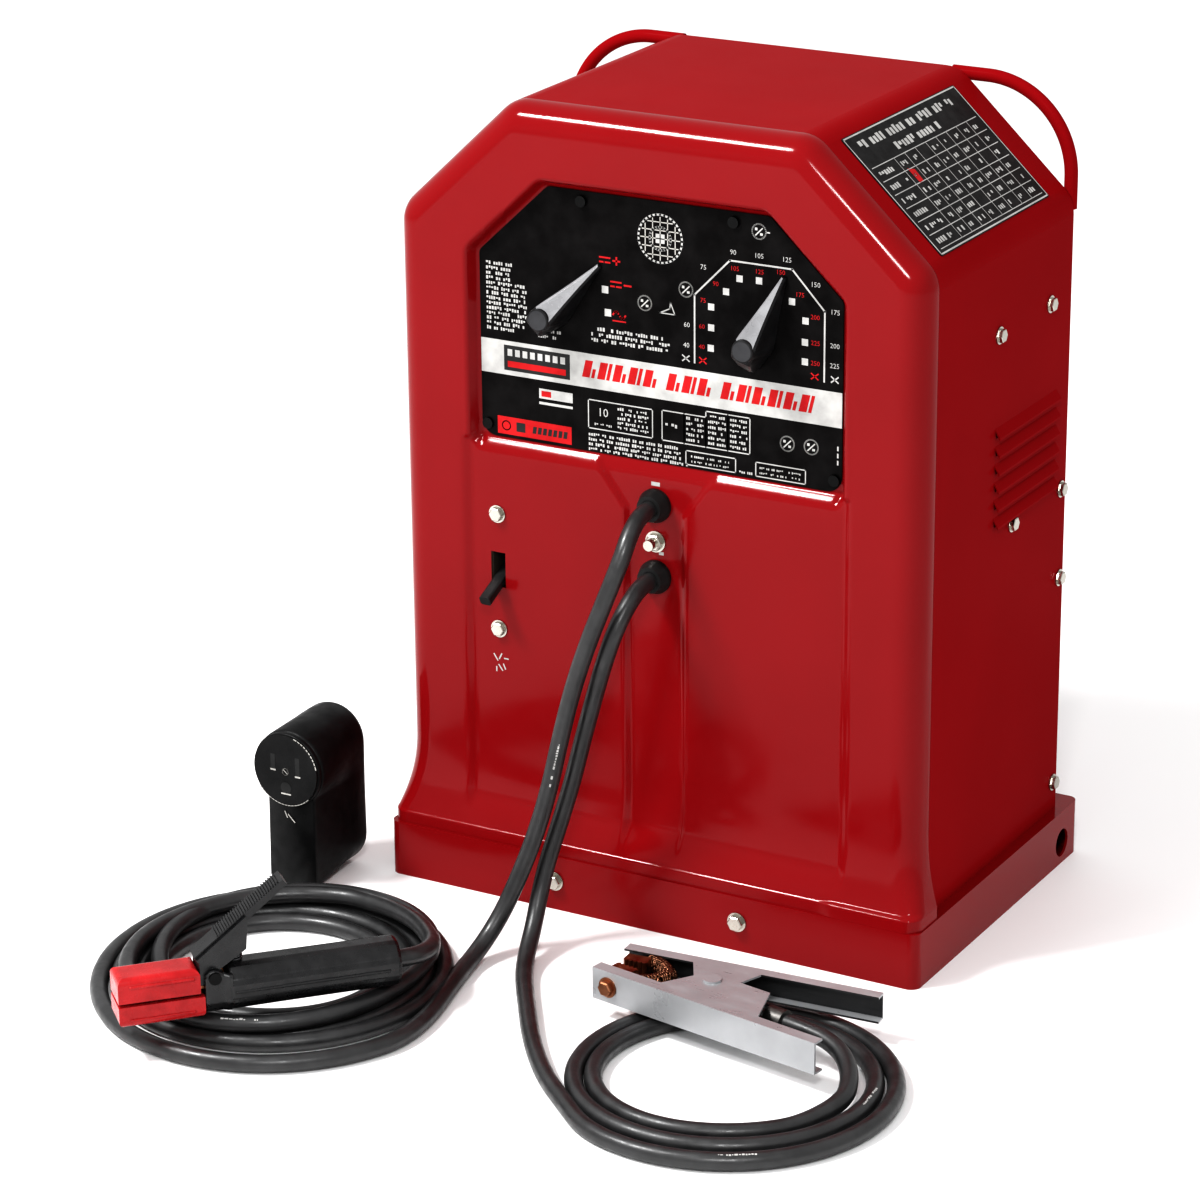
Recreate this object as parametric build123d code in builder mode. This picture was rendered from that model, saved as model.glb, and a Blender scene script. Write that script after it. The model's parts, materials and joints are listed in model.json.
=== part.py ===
from build123d import *

import os
from math import atan, atan2, cos, degrees, hypot, pi, radians, sin, tan

# Upright AC/DC stick welder with its electrode and work leads, millimetres.
# Origin: middle of the cabinet's underside. -Y is the front, +X the right, +Z up.

# ---------------------------------------------------------------- driving sizes
HEIGHT = 610.0
BASE_WIDTH, BASE_DEPTH, BASE_HEIGHT = 444.0, 289.0, 43.0
BODY_WIDTH = 426.0
FRONT_Y, SEAM_Y, BACK_Y = -131.0, -109.0, 120.0
ROOF_WIDTH, CHAMFER_Z = 238.0, 522.0
SHEET = 1.5
FRONT_EDGE_R, CORNER_R = 20.0, 26.0
SKIRT_TOP_Z = 112.0

PLATE_HALF, PLATE_BOTTOM, PLATE_SHOULDER, PLATE_TOP = 146.4, 358.0, 497.0, 551.0
PLATE_TOP_HALF = 89.0
RECESS_DEPTH, PANEL_DEPTH, CHANNEL_DEPTH = 11.0, 3.0, 6.0
CHANNEL_HALF, FUNNEL_HALF, FUNNEL_Z = 27.0, 50.0, 322.0

KNOB_X, KNOB_Z = 82.0, 460.0
POINTER_LENGTH, HUB_R, HUB_TOP_R, HUB_HEIGHT = 53.0, 11.5, 8.0, 27.0
MODE_ANGLE, CURRENT_ANGLE = 47.0, 69.0
SHAFT_R = 4.0
RUN_GAP = 0.05

LEAD_D = 13.0
UPPER_LEAD_Z, LOWER_LEAD_Z, STUD_Z = 327.0, 272.6, 299.4
GROMMET_FACE_Y = -136.0
SWITCH_X, SWITCH_Z = -131.0, 256.5
SWITCH_SCREW_Z = (300.0, 210.0)
TOGGLE_PIVOT_Y, TOGGLE_ANGLE, TOGGLE_LENGTH = -108.0, 25.0, 44.0

AXLE_Y, AXLE_Z, AXLE_R = 114.0, 17.0, 11.0
HANDLE_ROD_R, HANDLE_Y, HANDLE_BEND_R = 5.0, 126.0, 67.5
LOUVRE_COUNT, LOUVRE_PITCH, LOUVRE_TOP_Z = 6, 13.5, 384.0
LOUVRE_LENGTH, LOUVRE_MID_Y = 108.0, 44.0

FAN_X, FAN_Z, FAN_R = -30.0, 330.0, 82.0
SHELF_Z = 205.0

# Electrode holder: its axis runs from the jaws to the end of the handle.
HOLDER_Z = 45.0
HOLDER_NECK = (-178.5, -458.0, HOLDER_Z)
HOLDER_ANGLE = 47.0
HOLDER_DIRECTION = (cos(radians(HOLDER_ANGLE)), sin(radians(HOLDER_ANGLE)), 0.0)
HOLDER_END, JAW_LENGTH = 140.0, 62.0
HOLDER_PIVOT_U, HOLDER_PIVOT_W = 6.0, 12.0
LEVER_ANGLE, LEVER_LENGTH = 38.5, 82.0

# Work clamp: a pair of folded arms about an upright rivet.
CLAMP_PIVOT = (124.0, -271.0)
CLAMP_BOTTOM, CLAMP_TOP = 16.0, 40.0
CLAMP_NEAR_ANGLE, CLAMP_FAR_ANGLE = -9.9, 3.9
CLAMP_HALF, CLAMP_TIP, CLAMP_TAIL = 35.0, -80.0, 115.0

ELECTRODE_COIL = (-190.0, -352.0)
ELECTRODE_COIL_R = (72.0, 146.0)
ELECTRODE_COIL_HEIGHT = 27.0
WORK_COIL = (175.0, -345.0)
WORK_COIL_R = (62.0, 122.5)
WORK_COIL_HEIGHT = 14.0

RECEPTACLE_X, RECEPTACLE_FRONT_Y, RECEPTACLE_BACK_Y = -273.0, -203.0, -139.0
RECEPTACLE_DISC_Z, RECEPTACLE_DISC_R = 97.0, 30.0
RECEPTACLE_WIDTH, RECEPTACLE_HEIGHT = 54.0, 129.0

os.makedirs("parts", exist_ok=True)


def save(builder, name):
    """Label one finished piece and write its STEP file."""
    builder.part.label = name
    export_step(builder.part, f"parts/{name}.step")


def front_plane(y):
    """Plane parallel to the front panel, facing the user; local x is X, local y is Z."""
    return Plane(origin=(0, y, 0), x_dir=(1, 0, 0), z_dir=(0, -1, 0))


def polygon(points):
    """Closed face through plain 2-D points."""
    with BuildSketch(mode=Mode.PRIVATE) as sketch:
        with BuildLine():
            Polyline(*points, close=True)
        make_face()
    return sketch.sketch


def cabinet_outline(inset, bottom):
    """The cabinet's eight-sided front view, rounded at the shoulder corners."""
    side, roof = BODY_WIDTH / 2 - inset, HEIGHT - inset
    slope = atan2(HEIGHT - CHAMFER_Z, (BODY_WIDTH - ROOF_WIDTH) / 2)
    roof_half = ROOF_WIDTH / 2 - inset * tan(slope / 2)
    shoulder = CHAMFER_Z - inset * tan(pi / 4 - slope / 2)
    with BuildSketch(mode=Mode.PRIVATE) as sketch:
        with BuildLine():
            Polyline(
                (-side, bottom), (side, bottom), (side, shoulder), (roof_half, roof),
                (-roof_half, roof), (-side, shoulder), close=True,
            )
        make_face()
        fillet(sketch.vertices().group_by(Axis.Y)[1:], CORNER_R - inset)
    return sketch.sketch


def plate_outline(grow):
    """The nameplate's shape, larger all round by grow."""
    with BuildSketch(mode=Mode.PRIVATE) as sketch:
        with BuildLine():
            Polyline(
                (-PLATE_HALF, PLATE_BOTTOM), (PLATE_HALF, PLATE_BOTTOM),
                (PLATE_HALF, PLATE_SHOULDER), (PLATE_TOP_HALF, PLATE_TOP),
                (-PLATE_TOP_HALF, PLATE_TOP), (-PLATE_HALF, PLATE_SHOULDER), close=True,
            )
        make_face()
        offset(amount=grow, kind=Kind.INTERSECTION)
        fillet(sketch.vertices().group_by(Axis.Y)[0], 12)
        fillet(sketch.vertices().group_by(Axis.Y)[-2:], 6)
    return sketch.sketch


def skirt_section(z, half_width, front, corner, inset):
    """Plan of the front shell at one height."""
    half, face_y = half_width - inset, front + inset
    with BuildSketch(Plane.XY.offset(z), mode=Mode.PRIVATE) as sketch:
        with BuildLine():
            Polyline((-half, SEAM_Y), (half, SEAM_Y), (half, face_y), (-half, face_y), close=True)
        make_face()
        fillet(sketch.vertices().group_by(Axis.Y)[0], corner - inset)
    return sketch.sketch


def front_block(inset):
    """The drawn front shell as a solid, smaller by inset; two of them make the sheet."""
    with BuildPart(mode=Mode.PRIVATE) as block:
        with BuildSketch(front_plane(SEAM_Y)):
            add(cabinet_outline(inset, SKIRT_TOP_Z))
        extrude(amount=SEAM_Y - FRONT_Y - inset)
        rim = block.faces().sort_by(Axis.Y)[0].edges().filter_by(lambda e: e.center().Z > SKIRT_TOP_Z + 1)
        fillet(rim, FRONT_EDGE_R - inset)
        top = skirt_section(SKIRT_TOP_Z, BODY_WIDTH / 2, FRONT_Y, FRONT_EDGE_R, inset)
        foot = skirt_section(BASE_HEIGHT, BASE_WIDTH / 2 - 1, 1 - BASE_DEPTH / 2, 12, inset)
        loft([top, foot])
        face_y = FRONT_Y + inset
        with BuildSketch(front_plane(face_y)):
            add(plate_outline(7 + inset))
        extrude(amount=-RECESS_DEPTH, taper=degrees(atan(5 / RECESS_DEPTH)), mode=Mode.SUBTRACT)
        with BuildSketch(front_plane(face_y)):
            with Locations((0, (SKIRT_TOP_Z + 352) / 2 + 4)):
                Rectangle(2 * (157 + inset), 352 - SKIRT_TOP_Z, align=(Align.CENTER, Align.CENTER))
        extrude(amount=-PANEL_DEPTH, taper=50, mode=Mode.SUBTRACT)
        channel = [
            (-CHANNEL_HALF - inset, SKIRT_TOP_Z + 6), (CHANNEL_HALF + inset, SKIRT_TOP_Z + 6),
            (CHANNEL_HALF + inset, FUNNEL_Z), (FUNNEL_HALF + inset, 352), (FUNNEL_HALF + inset, 364),
            (-FUNNEL_HALF - inset, 364), (-FUNNEL_HALF - inset, 352), (-CHANNEL_HALF - inset, FUNNEL_Z),
        ]
        with BuildSketch(front_plane(face_y)):
            add(polygon(channel))
        extrude(amount=-CHANNEL_DEPTH, taper=35, mode=Mode.SUBTRACT)
    return block.part


def hex_head(radius, height):
    """Hexagon head standing on the current location's plane."""
    with BuildPart(mode=Mode.PRIVATE) as head:
        with BuildSketch():
            RegularPolygon(radius, 6)
        extrude(amount=height)
        chamfer(head.faces().sort_by(Axis.Z)[-1].edges(), height * 0.15)
    return head.part


def washer_screw(head_r, head_height, shank_r, shank_length):
    """Hexagon washer-head screw along local +Z, its seat at the origin."""
    with BuildPart(mode=Mode.PRIVATE) as screw:
        Cylinder(head_r * 1.25, 1.0, align=(Align.CENTER, Align.CENTER, Align.MIN))
        with Locations((0, 0, 1)):
            add(hex_head(head_r, head_height))
        with Locations((0, 0, -shank_length)):
            Cylinder(shank_r, shank_length, align=(Align.CENTER, Align.CENTER, Align.MIN))
    return screw.part


def screws_on(plane, places, screw):
    """Copies of one screw at places on a plane."""
    with BuildPart(mode=Mode.PRIVATE) as group:
        with Locations(*[plane * Location((u, v, 0)) for u, v in places]):
            add(screw)
    return group.part


# ---------------------------------------------------------------- cabinet
SIDE_SCREWS = [(82.0, 452.5), (-7.0, 452.5), (111.0, 302.5), (23.0, 302.5)]
EDGE_SCREWS = [(112.5, 232.0), (112.5, 66.0)]
PLATE_SCREWS = [(61.0, 543.5), (-61.0, 543.5), (141.0, 367.0), (-141.0, 367.0)]
BASE_SCREWS = [(77.0, 23.2), (-77.0, 23.2)]
right_side = Plane(origin=(BODY_WIDTH / 2, 0, 0), x_dir=(0, 1, 0), z_dir=(1, 0, 0))
left_side = Plane(origin=(-BODY_WIDTH / 2, 0, 0), x_dir=(0, -1, 0), z_dir=(-1, 0, 0))

with BuildPart() as base_pan:
    with BuildSketch():
        RectangleRounded(BASE_WIDTH, BASE_DEPTH, 8)
    extrude(amount=BASE_HEIGHT)
    with BuildSketch(Plane.XY.offset(2)):
        RectangleRounded(BASE_WIDTH - 4, BASE_DEPTH - 4, 6)
    extrude(amount=BASE_HEIGHT - 4, mode=Mode.SUBTRACT)
    with BuildSketch(Plane.XY.offset(BASE_HEIGHT - 2)):
        RectangleRounded(BASE_WIDTH - 44, BASE_DEPTH - 64, 8)
    extrude(amount=2, mode=Mode.SUBTRACT)
    with Locations(Location((0, AXLE_Y, AXLE_Z), (0, 90, 0))):
        Cylinder(AXLE_R, BASE_WIDTH + 2, mode=Mode.SUBTRACT)
    with Locations(*[Location((x, -BASE_DEPTH / 2, z), (90, 0, 0)) for x, z in BASE_SCREWS]):
        Cylinder(3.05, 8, mode=Mode.SUBTRACT)
    with GridLocations(220, 60, 2, 2):
        Cylinder(3.05, 10, mode=Mode.SUBTRACT)
save(base_pan, "base_pan")

with BuildPart() as front_case:
    add(front_block(0))
    add(front_block(SHEET), mode=Mode.SUBTRACT)
    with Locations(*[Location((0, FRONT_Y, z), (90, 0, 0)) for z in (UPPER_LEAD_Z, LOWER_LEAD_Z)]):
        Cylinder(11, 60, mode=Mode.SUBTRACT)
    with Locations(Location((0, FRONT_Y, STUD_Z), (90, 0, 0))):
        Cylinder(4.0, 60, mode=Mode.SUBTRACT)
    with Locations(*[Location((x, FRONT_Y, KNOB_Z), (90, 0, 0)) for x in (-KNOB_X, KNOB_X)]):
        Cylinder(7, 60, mode=Mode.SUBTRACT)
    with Locations(*[Location((x, FRONT_Y, z), (90, 0, 0)) for x, z in PLATE_SCREWS]):
        Cylinder(2.05, 60, mode=Mode.SUBTRACT)
    with Locations(*[Location((SWITCH_X, FRONT_Y, z), (90, 0, 0)) for z in SWITCH_SCREW_Z]):
        Cylinder(2.55, 60, mode=Mode.SUBTRACT)
    with Locations((SWITCH_X, FRONT_Y, SWITCH_Z)):
        Box(12, 60, 27, mode=Mode.SUBTRACT)
save(front_case, "front_case")

with BuildPart() as louvre_hood:
    with BuildSketch(Plane(origin=(0, -LOUVRE_LENGTH / 2, 0), x_dir=(1, 0, 0), z_dir=(0, 1, 0))):
        with BuildLine():
            Polyline((-0.4, -0.4), (4.2, 6.8), (4.2, 8.4), (3, 8.4), (3, 7.4), (-0.4, 1.2), close=True)
        make_face()
    extrude(amount=LOUVRE_LENGTH)

louvre_levels = [LOUVRE_TOP_Z - LOUVRE_PITCH * row for row in range(LOUVRE_COUNT)]
with BuildPart() as wrap_cover:
    with BuildSketch(front_plane(BACK_Y)):
        add(cabinet_outline(0, BASE_HEIGHT))
        add(cabinet_outline(SHEET, BASE_HEIGHT - 5), mode=Mode.SUBTRACT)
    extrude(amount=BACK_Y - SEAM_Y)
    for side in (-1, 1):
        for level in louvre_levels:
            with Locations((side * BODY_WIDTH / 2, LOUVRE_MID_Y, level - 5)):
                Box(8, LOUVRE_LENGTH - 4, 6, mode=Mode.SUBTRACT)
    for level in louvre_levels:
        with Locations(Location((BODY_WIDTH / 2, LOUVRE_MID_Y, level))):
            add(louvre_hood.part)
        with Locations(Location((-BODY_WIDTH / 2, LOUVRE_MID_Y, level), (0, 0, 180))):
            add(louvre_hood.part)
    for plane in (right_side, left_side):
        flip = 1 if plane is right_side else -1
        with Locations(*[plane * Location((flip * y, z, 0)) for y, z in SIDE_SCREWS + EDGE_SCREWS]):
            Cylinder(2.55, 8, mode=Mode.SUBTRACT)
save(wrap_cover, "wrap_cover")

REAR_Y = BACK_Y - 1.6
GLAND_X, GLAND_Z = -150.0, 95.0
with BuildPart() as rear_panel:
    with BuildSketch(front_plane(REAR_Y)):
        add(cabinet_outline(SHEET + 0.1, BASE_HEIGHT))
    extrude(amount=SHEET)
    with BuildSketch(front_plane(REAR_Y)):
        with Locations((FAN_X, FAN_Z)):
            with GridLocations(0, 16, 1, 10):
                SlotOverall(150, 6)
    extrude(amount=SHEET, mode=Mode.SUBTRACT)
    with Locations(Location((GLAND_X, REAR_Y, GLAND_Z), (90, 0, 0))):
        Cylinder(12.1, 20, mode=Mode.SUBTRACT)
save(rear_panel, "rear_panel")


def lift_handle(side):
    """Round rod bent round one shoulder, its two ends welded to the rear panel."""
    edge, top = BODY_WIDTH / 2 - HANDLE_ROD_R - 0.5, HEIGHT - HANDLE_ROD_R - 0.5
    centre_x, centre_z = edge - HANDLE_BEND_R, top - HANDLE_BEND_R
    start = (side * (centre_x - 28), HANDLE_Y, top)
    with BuildPart(mode=Mode.PRIVATE) as rod:
        with BuildLine() as path:
            FilletPolyline(
                start, (side * edge, HANDLE_Y, top), (side * edge, HANDLE_Y, centre_z - 24),
                radius=HANDLE_BEND_R,
            )
        with BuildSketch(Plane(origin=start, z_dir=(side, 0, 0))):
            Circle(HANDLE_ROD_R)
        sweep(path=path.wires()[0])
        for x, z in ((side * (centre_x - 28), top - 1.5), (side * (edge - 0.6), centre_z - 24)):
            with Locations(Location((x, HANDLE_Y, z), (90, 0, 0))):
                Cylinder(HANDLE_ROD_R - 1.4, HANDLE_Y - REAR_Y, align=(Align.CENTER, Align.CENTER, Align.MIN))
    return rod.part


for side, name in ((-1, "lift_handle_left"), (1, "lift_handle_right")):
    with BuildPart() as handle:
        add(lift_handle(side))
    save(handle, name)

PLATE_Y = FRONT_Y + RECESS_DEPTH
with BuildPart() as control_nameplate:
    with BuildSketch(front_plane(PLATE_Y)):
        add(plate_outline(0))
    extrude(amount=1.2)
    with Locations(*[Location((x, PLATE_Y, KNOB_Z), (90, 0, 0)) for x in (-KNOB_X, KNOB_X)]):
        Cylinder(7, 10, mode=Mode.SUBTRACT)
    with Locations(*[Location((x, PLATE_Y, z), (90, 0, 0)) for x, z in PLATE_SCREWS]):
        Cylinder(2.05, 10, mode=Mode.SUBTRACT)
save(control_nameplate, "control_nameplate")

# The rating plate lies on the right-hand shoulder.
shoulder_run = (BODY_WIDTH - ROOF_WIDTH) / 2
shoulder_rise = HEIGHT - CHAMFER_Z
shoulder_normal = (shoulder_rise, 0, shoulder_run)
shoulder_mid = ((BODY_WIDTH + ROOF_WIDTH) / 4, 1.0, (HEIGHT + CHAMFER_Z) / 2)
with BuildPart() as rating_plate:
    with BuildSketch(Plane(origin=shoulder_mid, x_dir=(0, 1, 0), z_dir=shoulder_normal)):
        RectangleRounded(182, 107, 2)
    extrude(amount=0.6)
save(rating_plate, "rating_plate")

with BuildPart() as nameplate_screws:
    with Locations(*[Location((x, PLATE_Y - 1.2, z), (90, 0, 0)) for x, z in PLATE_SCREWS]):
        Cylinder(4.2, 2.2, align=(Align.CENTER, Align.CENTER, Align.MIN))
        Cylinder(2.05, 8, align=(Align.CENTER, Align.CENTER, Align.MAX))
save(nameplate_screws, "nameplate_screws")

with BuildPart() as cabinet_screws:
    mirrored = [(-y, z) for y, z in SIDE_SCREWS + EDGE_SCREWS]
    add(screws_on(right_side, SIDE_SCREWS + EDGE_SCREWS, washer_screw(5.2, 3.4, 2.5, 7)))
    add(screws_on(left_side, mirrored, washer_screw(5.2, 3.4, 2.5, 7)))
    add(screws_on(front_plane(-BASE_DEPTH / 2), BASE_SCREWS, washer_screw(6.0, 4.4, 3.0, 9)))
save(cabinet_screws, "cabinet_screws")

channel_y = FRONT_Y + CHANNEL_DEPTH
for z, name in ((UPPER_LEAD_Z, "electrode_lead_grommet"), (LOWER_LEAD_Z, "work_lead_grommet")):
    with BuildPart() as grommet:
        with BuildSketch(Plane.XZ):
            with BuildLine():
                Polyline(
                    (LEAD_D / 2, channel_y + 4), (10.9, channel_y + 4), (10.9, channel_y),
                    (12.6, channel_y), (12.6, channel_y - 3), (9.6, GROMMET_FACE_Y),
                    (LEAD_D / 2, GROMMET_FACE_Y), close=True,
                )
            make_face()
        revolve(axis=Axis.Z)
    with BuildPart() as placed_grommet:
        with Locations(Location((0, 0, z), (-90, 0, 0))):
            add(grommet.part)
    save(placed_grommet, name)

with BuildPart() as ground_stud:
    with Locations(Location((0, channel_y, STUD_Z), (90, 0, 0))):
        Cylinder(8, 1.2, align=(Align.CENTER, Align.CENTER, Align.MIN))
        add(hex_head(6.6, 5.5))
        Cylinder(3.95, 12, align=(Align.CENTER, Align.CENTER, Align.MIN))
        Cylinder(3.95, 18, align=(Align.CENTER, Align.CENTER, Align.MAX))
save(ground_stud, "ground_stud")

# ---------------------------------------------------------------- front controls
panel_back_y = FRONT_Y + PANEL_DEPTH + SHEET
with BuildPart() as line_switch_body:
    with Locations((SWITCH_X, panel_back_y + 0.5, SWITCH_Z)):
        Box(34, 42, 66, align=(Align.CENTER, Align.MIN, Align.CENTER))
        Box(10.4, 30, 40, align=(Align.CENTER, Align.MIN, Align.CENTER), mode=Mode.SUBTRACT)
    with Locations(*[Location((SWITCH_X, panel_back_y + 0.5, z), (90, 0, 0)) for z in SWITCH_SCREW_Z]):
        Cylinder(6, 3, align=(Align.CENTER, Align.CENTER, Align.MAX))
    for z in SWITCH_SCREW_Z:
        with Locations((SWITCH_X, panel_back_y + 0.5, (z + SWITCH_Z) / 2)):
            Box(12, 3, abs(z - SWITCH_Z), align=(Align.CENTER, Align.MIN, Align.CENTER))
    with Locations((SWITCH_X, panel_back_y, SWITCH_Z)):
        Box(10.4, 20, 40, align=(Align.CENTER, Align.MIN, Align.CENTER), mode=Mode.SUBTRACT)
    with Locations(*[Location((SWITCH_X, panel_back_y + 0.5, z), (90, 0, 0)) for z in SWITCH_SCREW_Z]):
        Cylinder(2.55, 12, mode=Mode.SUBTRACT)
    with Locations(Location((SWITCH_X, TOGGLE_PIVOT_Y, SWITCH_Z), (0, 90, 0))):
        Cylinder(2.05, 40, mode=Mode.SUBTRACT)
save(line_switch_body, "line_switch_body")

with BuildPart() as line_switch_screws:
    panel_face = front_plane(FRONT_Y + PANEL_DEPTH)
    add(screws_on(panel_face, [(SWITCH_X, z) for z in SWITCH_SCREW_Z], washer_screw(5.4, 3.2, 2.5, 9)))
save(line_switch_screws, "line_switch_screws")

toggle_dir = Vector(0, -cos(radians(TOGGLE_ANGLE)), -sin(radians(TOGGLE_ANGLE)))
toggle_plane = Plane(
    origin=(SWITCH_X, TOGGLE_PIVOT_Y, SWITCH_Z), x_dir=(1, 0, 0), z_dir=tuple(toggle_dir)
)
with BuildPart() as line_switch_toggle:
    with Locations(Location((SWITCH_X, TOGGLE_PIVOT_Y, SWITCH_Z), (0, 90, 0))):
        Cylinder(5, 9.6)
        Cylinder(2.0, 30)
    with BuildSketch(toggle_plane):
        Rectangle(8, 5)
    with BuildSketch(toggle_plane.offset(TOGGLE_LENGTH)):
        RectangleRounded(9, 7.5, 2)
    loft()
save(line_switch_toggle, "line_switch_toggle")


def selector_knob(x, angle):
    """Tapered hub with a long pointer that slopes down to the plate."""
    plate_face = PLATE_Y - 1.2 - 0.4
    direction = (cos(radians(angle)), 0, sin(radians(angle)))
    side = (-sin(radians(angle)), 0, cos(radians(angle)))
    across = Plane(origin=(x, plate_face, KNOB_Z), x_dir=side, z_dir=direction)
    with BuildPart(mode=Mode.PRIVATE) as pointer:
        with BuildSketch(across):
            add(polygon([(-HUB_R, 0), (HUB_R, 0), (HUB_TOP_R, HUB_HEIGHT), (-HUB_TOP_R, HUB_HEIGHT)]))
        with BuildSketch(across.offset(POINTER_LENGTH)):
            add(polygon([(-1.8, 0), (1.8, 0), (1.4, 4), (-1.4, 4)]))
        loft(ruled=True)
    with BuildPart(mode=Mode.PRIVATE) as knob:
        with Locations(Location((x, plate_face, KNOB_Z), (90, 0, 0))):
            Cone(HUB_R, HUB_TOP_R, HUB_HEIGHT, align=(Align.CENTER, Align.CENTER, Align.MIN))
        add(pointer.part)
        with Locations(Location((x, plate_face, KNOB_Z), (90, 0, 0))):
            Cylinder(SHAFT_R, HUB_HEIGHT - 6, align=(Align.CENTER, Align.CENTER, Align.MIN),
                     mode=Mode.SUBTRACT)
    return knob.part


def selector_shaft(x, back_y):
    """Round spindle from the switch wafers into the knob."""
    front_y = PLATE_Y - 1.6 - HUB_HEIGHT + 6
    with BuildPart(mode=Mode.PRIVATE) as shaft:
        with Locations(Location((x, front_y, KNOB_Z), (90, 0, 0))):
            Cylinder(SHAFT_R, back_y - front_y, align=(Align.CENTER, Align.CENTER, Align.MAX))
    return shaft.part


def selector_switch(x, radius, depth):
    """Round tap switch behind the panel, bored for its spindle."""
    mount_y = PLATE_Y + SHEET + 0.3
    with BuildPart(mode=Mode.PRIVATE) as switch:
        with Locations(Location((x, mount_y, KNOB_Z), (-90, 0, 0))):
            Cylinder(radius, depth, align=(Align.CENTER, Align.CENTER, Align.MIN))
            with PolarLocations(radius + 3, 6):
                Box(9, 8, 3, align=(Align.CENTER, Align.CENTER, Align.MIN))
            Cylinder(SHAFT_R + RUN_GAP, depth, align=(Align.CENTER, Align.CENTER, Align.MIN),
                     mode=Mode.SUBTRACT)
    return switch.part


SELECTORS = (
    ("mode", -KNOB_X, MODE_ANGLE, 30.0, 40.0),
    ("current", KNOB_X, CURRENT_ANGLE, 36.0, 46.0),
)
for label, x, angle, radius, depth in SELECTORS:
    with BuildPart() as knob:
        add(selector_knob(x, angle))
    save(knob, f"{label}_knob")
    with BuildPart() as shaft:
        add(selector_shaft(x, PLATE_Y + SHEET + depth + 4))
    save(shaft, f"{label}_shaft")
    with BuildPart() as switch:
        add(selector_switch(x, radius, depth))
    save(switch, f"{label}_switch_body")

# ---------------------------------------------------------------- inside the cabinet
CORE_X, CORE_Y = -45.0, -5.0
CORE_W, CORE_D, CORE_H, CORE_Z = 200.0, 90.0, 170.0, 2.0
CORE_LEG = 60.0
with BuildPart() as transformer_core:
    with Locations((CORE_X, CORE_Y, CORE_Z)):
        Box(CORE_W, CORE_D, CORE_H, align=(Align.CENTER, Align.CENTER, Align.MIN))
    for side in (-1, 1):
        with Locations((CORE_X + side * 50, CORE_Y, CORE_Z + 30)):
            Box(40, CORE_D + 2, 110, align=(Align.CENTER, Align.CENTER, Align.MIN), mode=Mode.SUBTRACT)
save(transformer_core, "transformer_core")


def winding(x, y, z, inner, outer, height, corner):
    """Rectangular coil of wire round an upright core leg."""
    with BuildPart(mode=Mode.PRIVATE) as coil:
        with BuildSketch(Plane(origin=(x, y, z))):
            RectangleRounded(outer[0], outer[1], corner)
            Rectangle(inner[0], inner[1], mode=Mode.SUBTRACT)
        extrude(amount=height)
    return coil.part


with BuildPart() as primary_winding:
    add(winding(CORE_X, CORE_Y, CORE_Z + 31, (61, 91), (97, 127), 108, 10))
save(primary_winding, "primary_winding")
with BuildPart() as secondary_winding:
    with BuildSketch(Plane(origin=(CORE_X, CORE_Y, CORE_Z + 33))):
        RectangleRounded(137, 167, 22)
        RectangleRounded(98, 128, 10.5, mode=Mode.SUBTRACT)
    extrude(amount=104)
save(secondary_winding, "secondary_winding")

CHOKE_X, CHOKE_Y = 138.0, -5.0
with BuildPart() as choke_core:
    with Locations((CHOKE_X, CHOKE_Y, 2)):
        Box(110, 70, 125, align=(Align.CENTER, Align.CENTER, Align.MIN))
    for side in (-1, 1):
        with Locations((CHOKE_X + side * 28, CHOKE_Y, 22)):
            Box(24, 72, 85, align=(Align.CENTER, Align.CENTER, Align.MIN), mode=Mode.SUBTRACT)
save(choke_core, "choke_core")
with BuildPart() as choke_winding:
    add(winding(CHOKE_X, CHOKE_Y, 23, (33, 71), (78, 116), 83, 14))
save(choke_winding, "choke_winding")

with BuildPart() as inner_shelf:
    with Locations((0, 38, SHELF_Z)):
        Box(BODY_WIDTH - 2 * SHEET - 0.4, 106, 2, align=(Align.CENTER, Align.CENTER, Align.MIN))
    for side in (-1, 1):
        with Locations((side * (BODY_WIDTH / 2 - SHEET - 1.2), 38, SHELF_Z)):
            Box(2, 106, 22, align=(Align.CENTER, Align.CENTER, Align.MAX))
    with Locations((0, 30, SHELF_Z)):
        with GridLocations(70, 0, 5, 1):
            Cylinder(14, 10, mode=Mode.SUBTRACT)
save(inner_shelf, "inner_shelf")

RECTIFIER_X, RECTIFIER_Y, RECTIFIER_Z = 112.0, 15.0, 276.0
with BuildPart() as rectifier_plates:
    with Locations((RECTIFIER_X, RECTIFIER_Y, RECTIFIER_Z)):
        with Locations(*[(17 * (index - 1.5), 0, 0) for index in range(4)]):
            Box(2.5, 88, 88)
            with Locations(*[Location((0, y, z), (0, 90, 0)) for y in (-24, 24) for z in (-24, 24)]):
                Cylinder(7, 12, align=(Align.CENTER, Align.CENTER, Align.MIN))
        with Locations(Location((0, 0, 0), (0, 90, 0))):
            Cylinder(5.5, 80, mode=Mode.SUBTRACT)
save(rectifier_plates, "rectifier_plates")
with BuildPart() as rectifier_mount:
    with Locations(Location((RECTIFIER_X, RECTIFIER_Y, RECTIFIER_Z), (0, 90, 0))):
        Cylinder(5.5, 96)
    for side in (-1, 1):
        with Locations((RECTIFIER_X + side * 46, RECTIFIER_Y, SHELF_Z + 2)):
            Box(3, 26, RECTIFIER_Z - SHELF_Z + 8, align=(Align.CENTER, Align.CENTER, Align.MIN))
        with Locations((RECTIFIER_X + side * 51, RECTIFIER_Y, SHELF_Z + 2)):
            Box(13, 26, 3, align=(Align.CENTER, Align.CENTER, Align.MIN))
save(rectifier_mount, "rectifier_mount")

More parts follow.
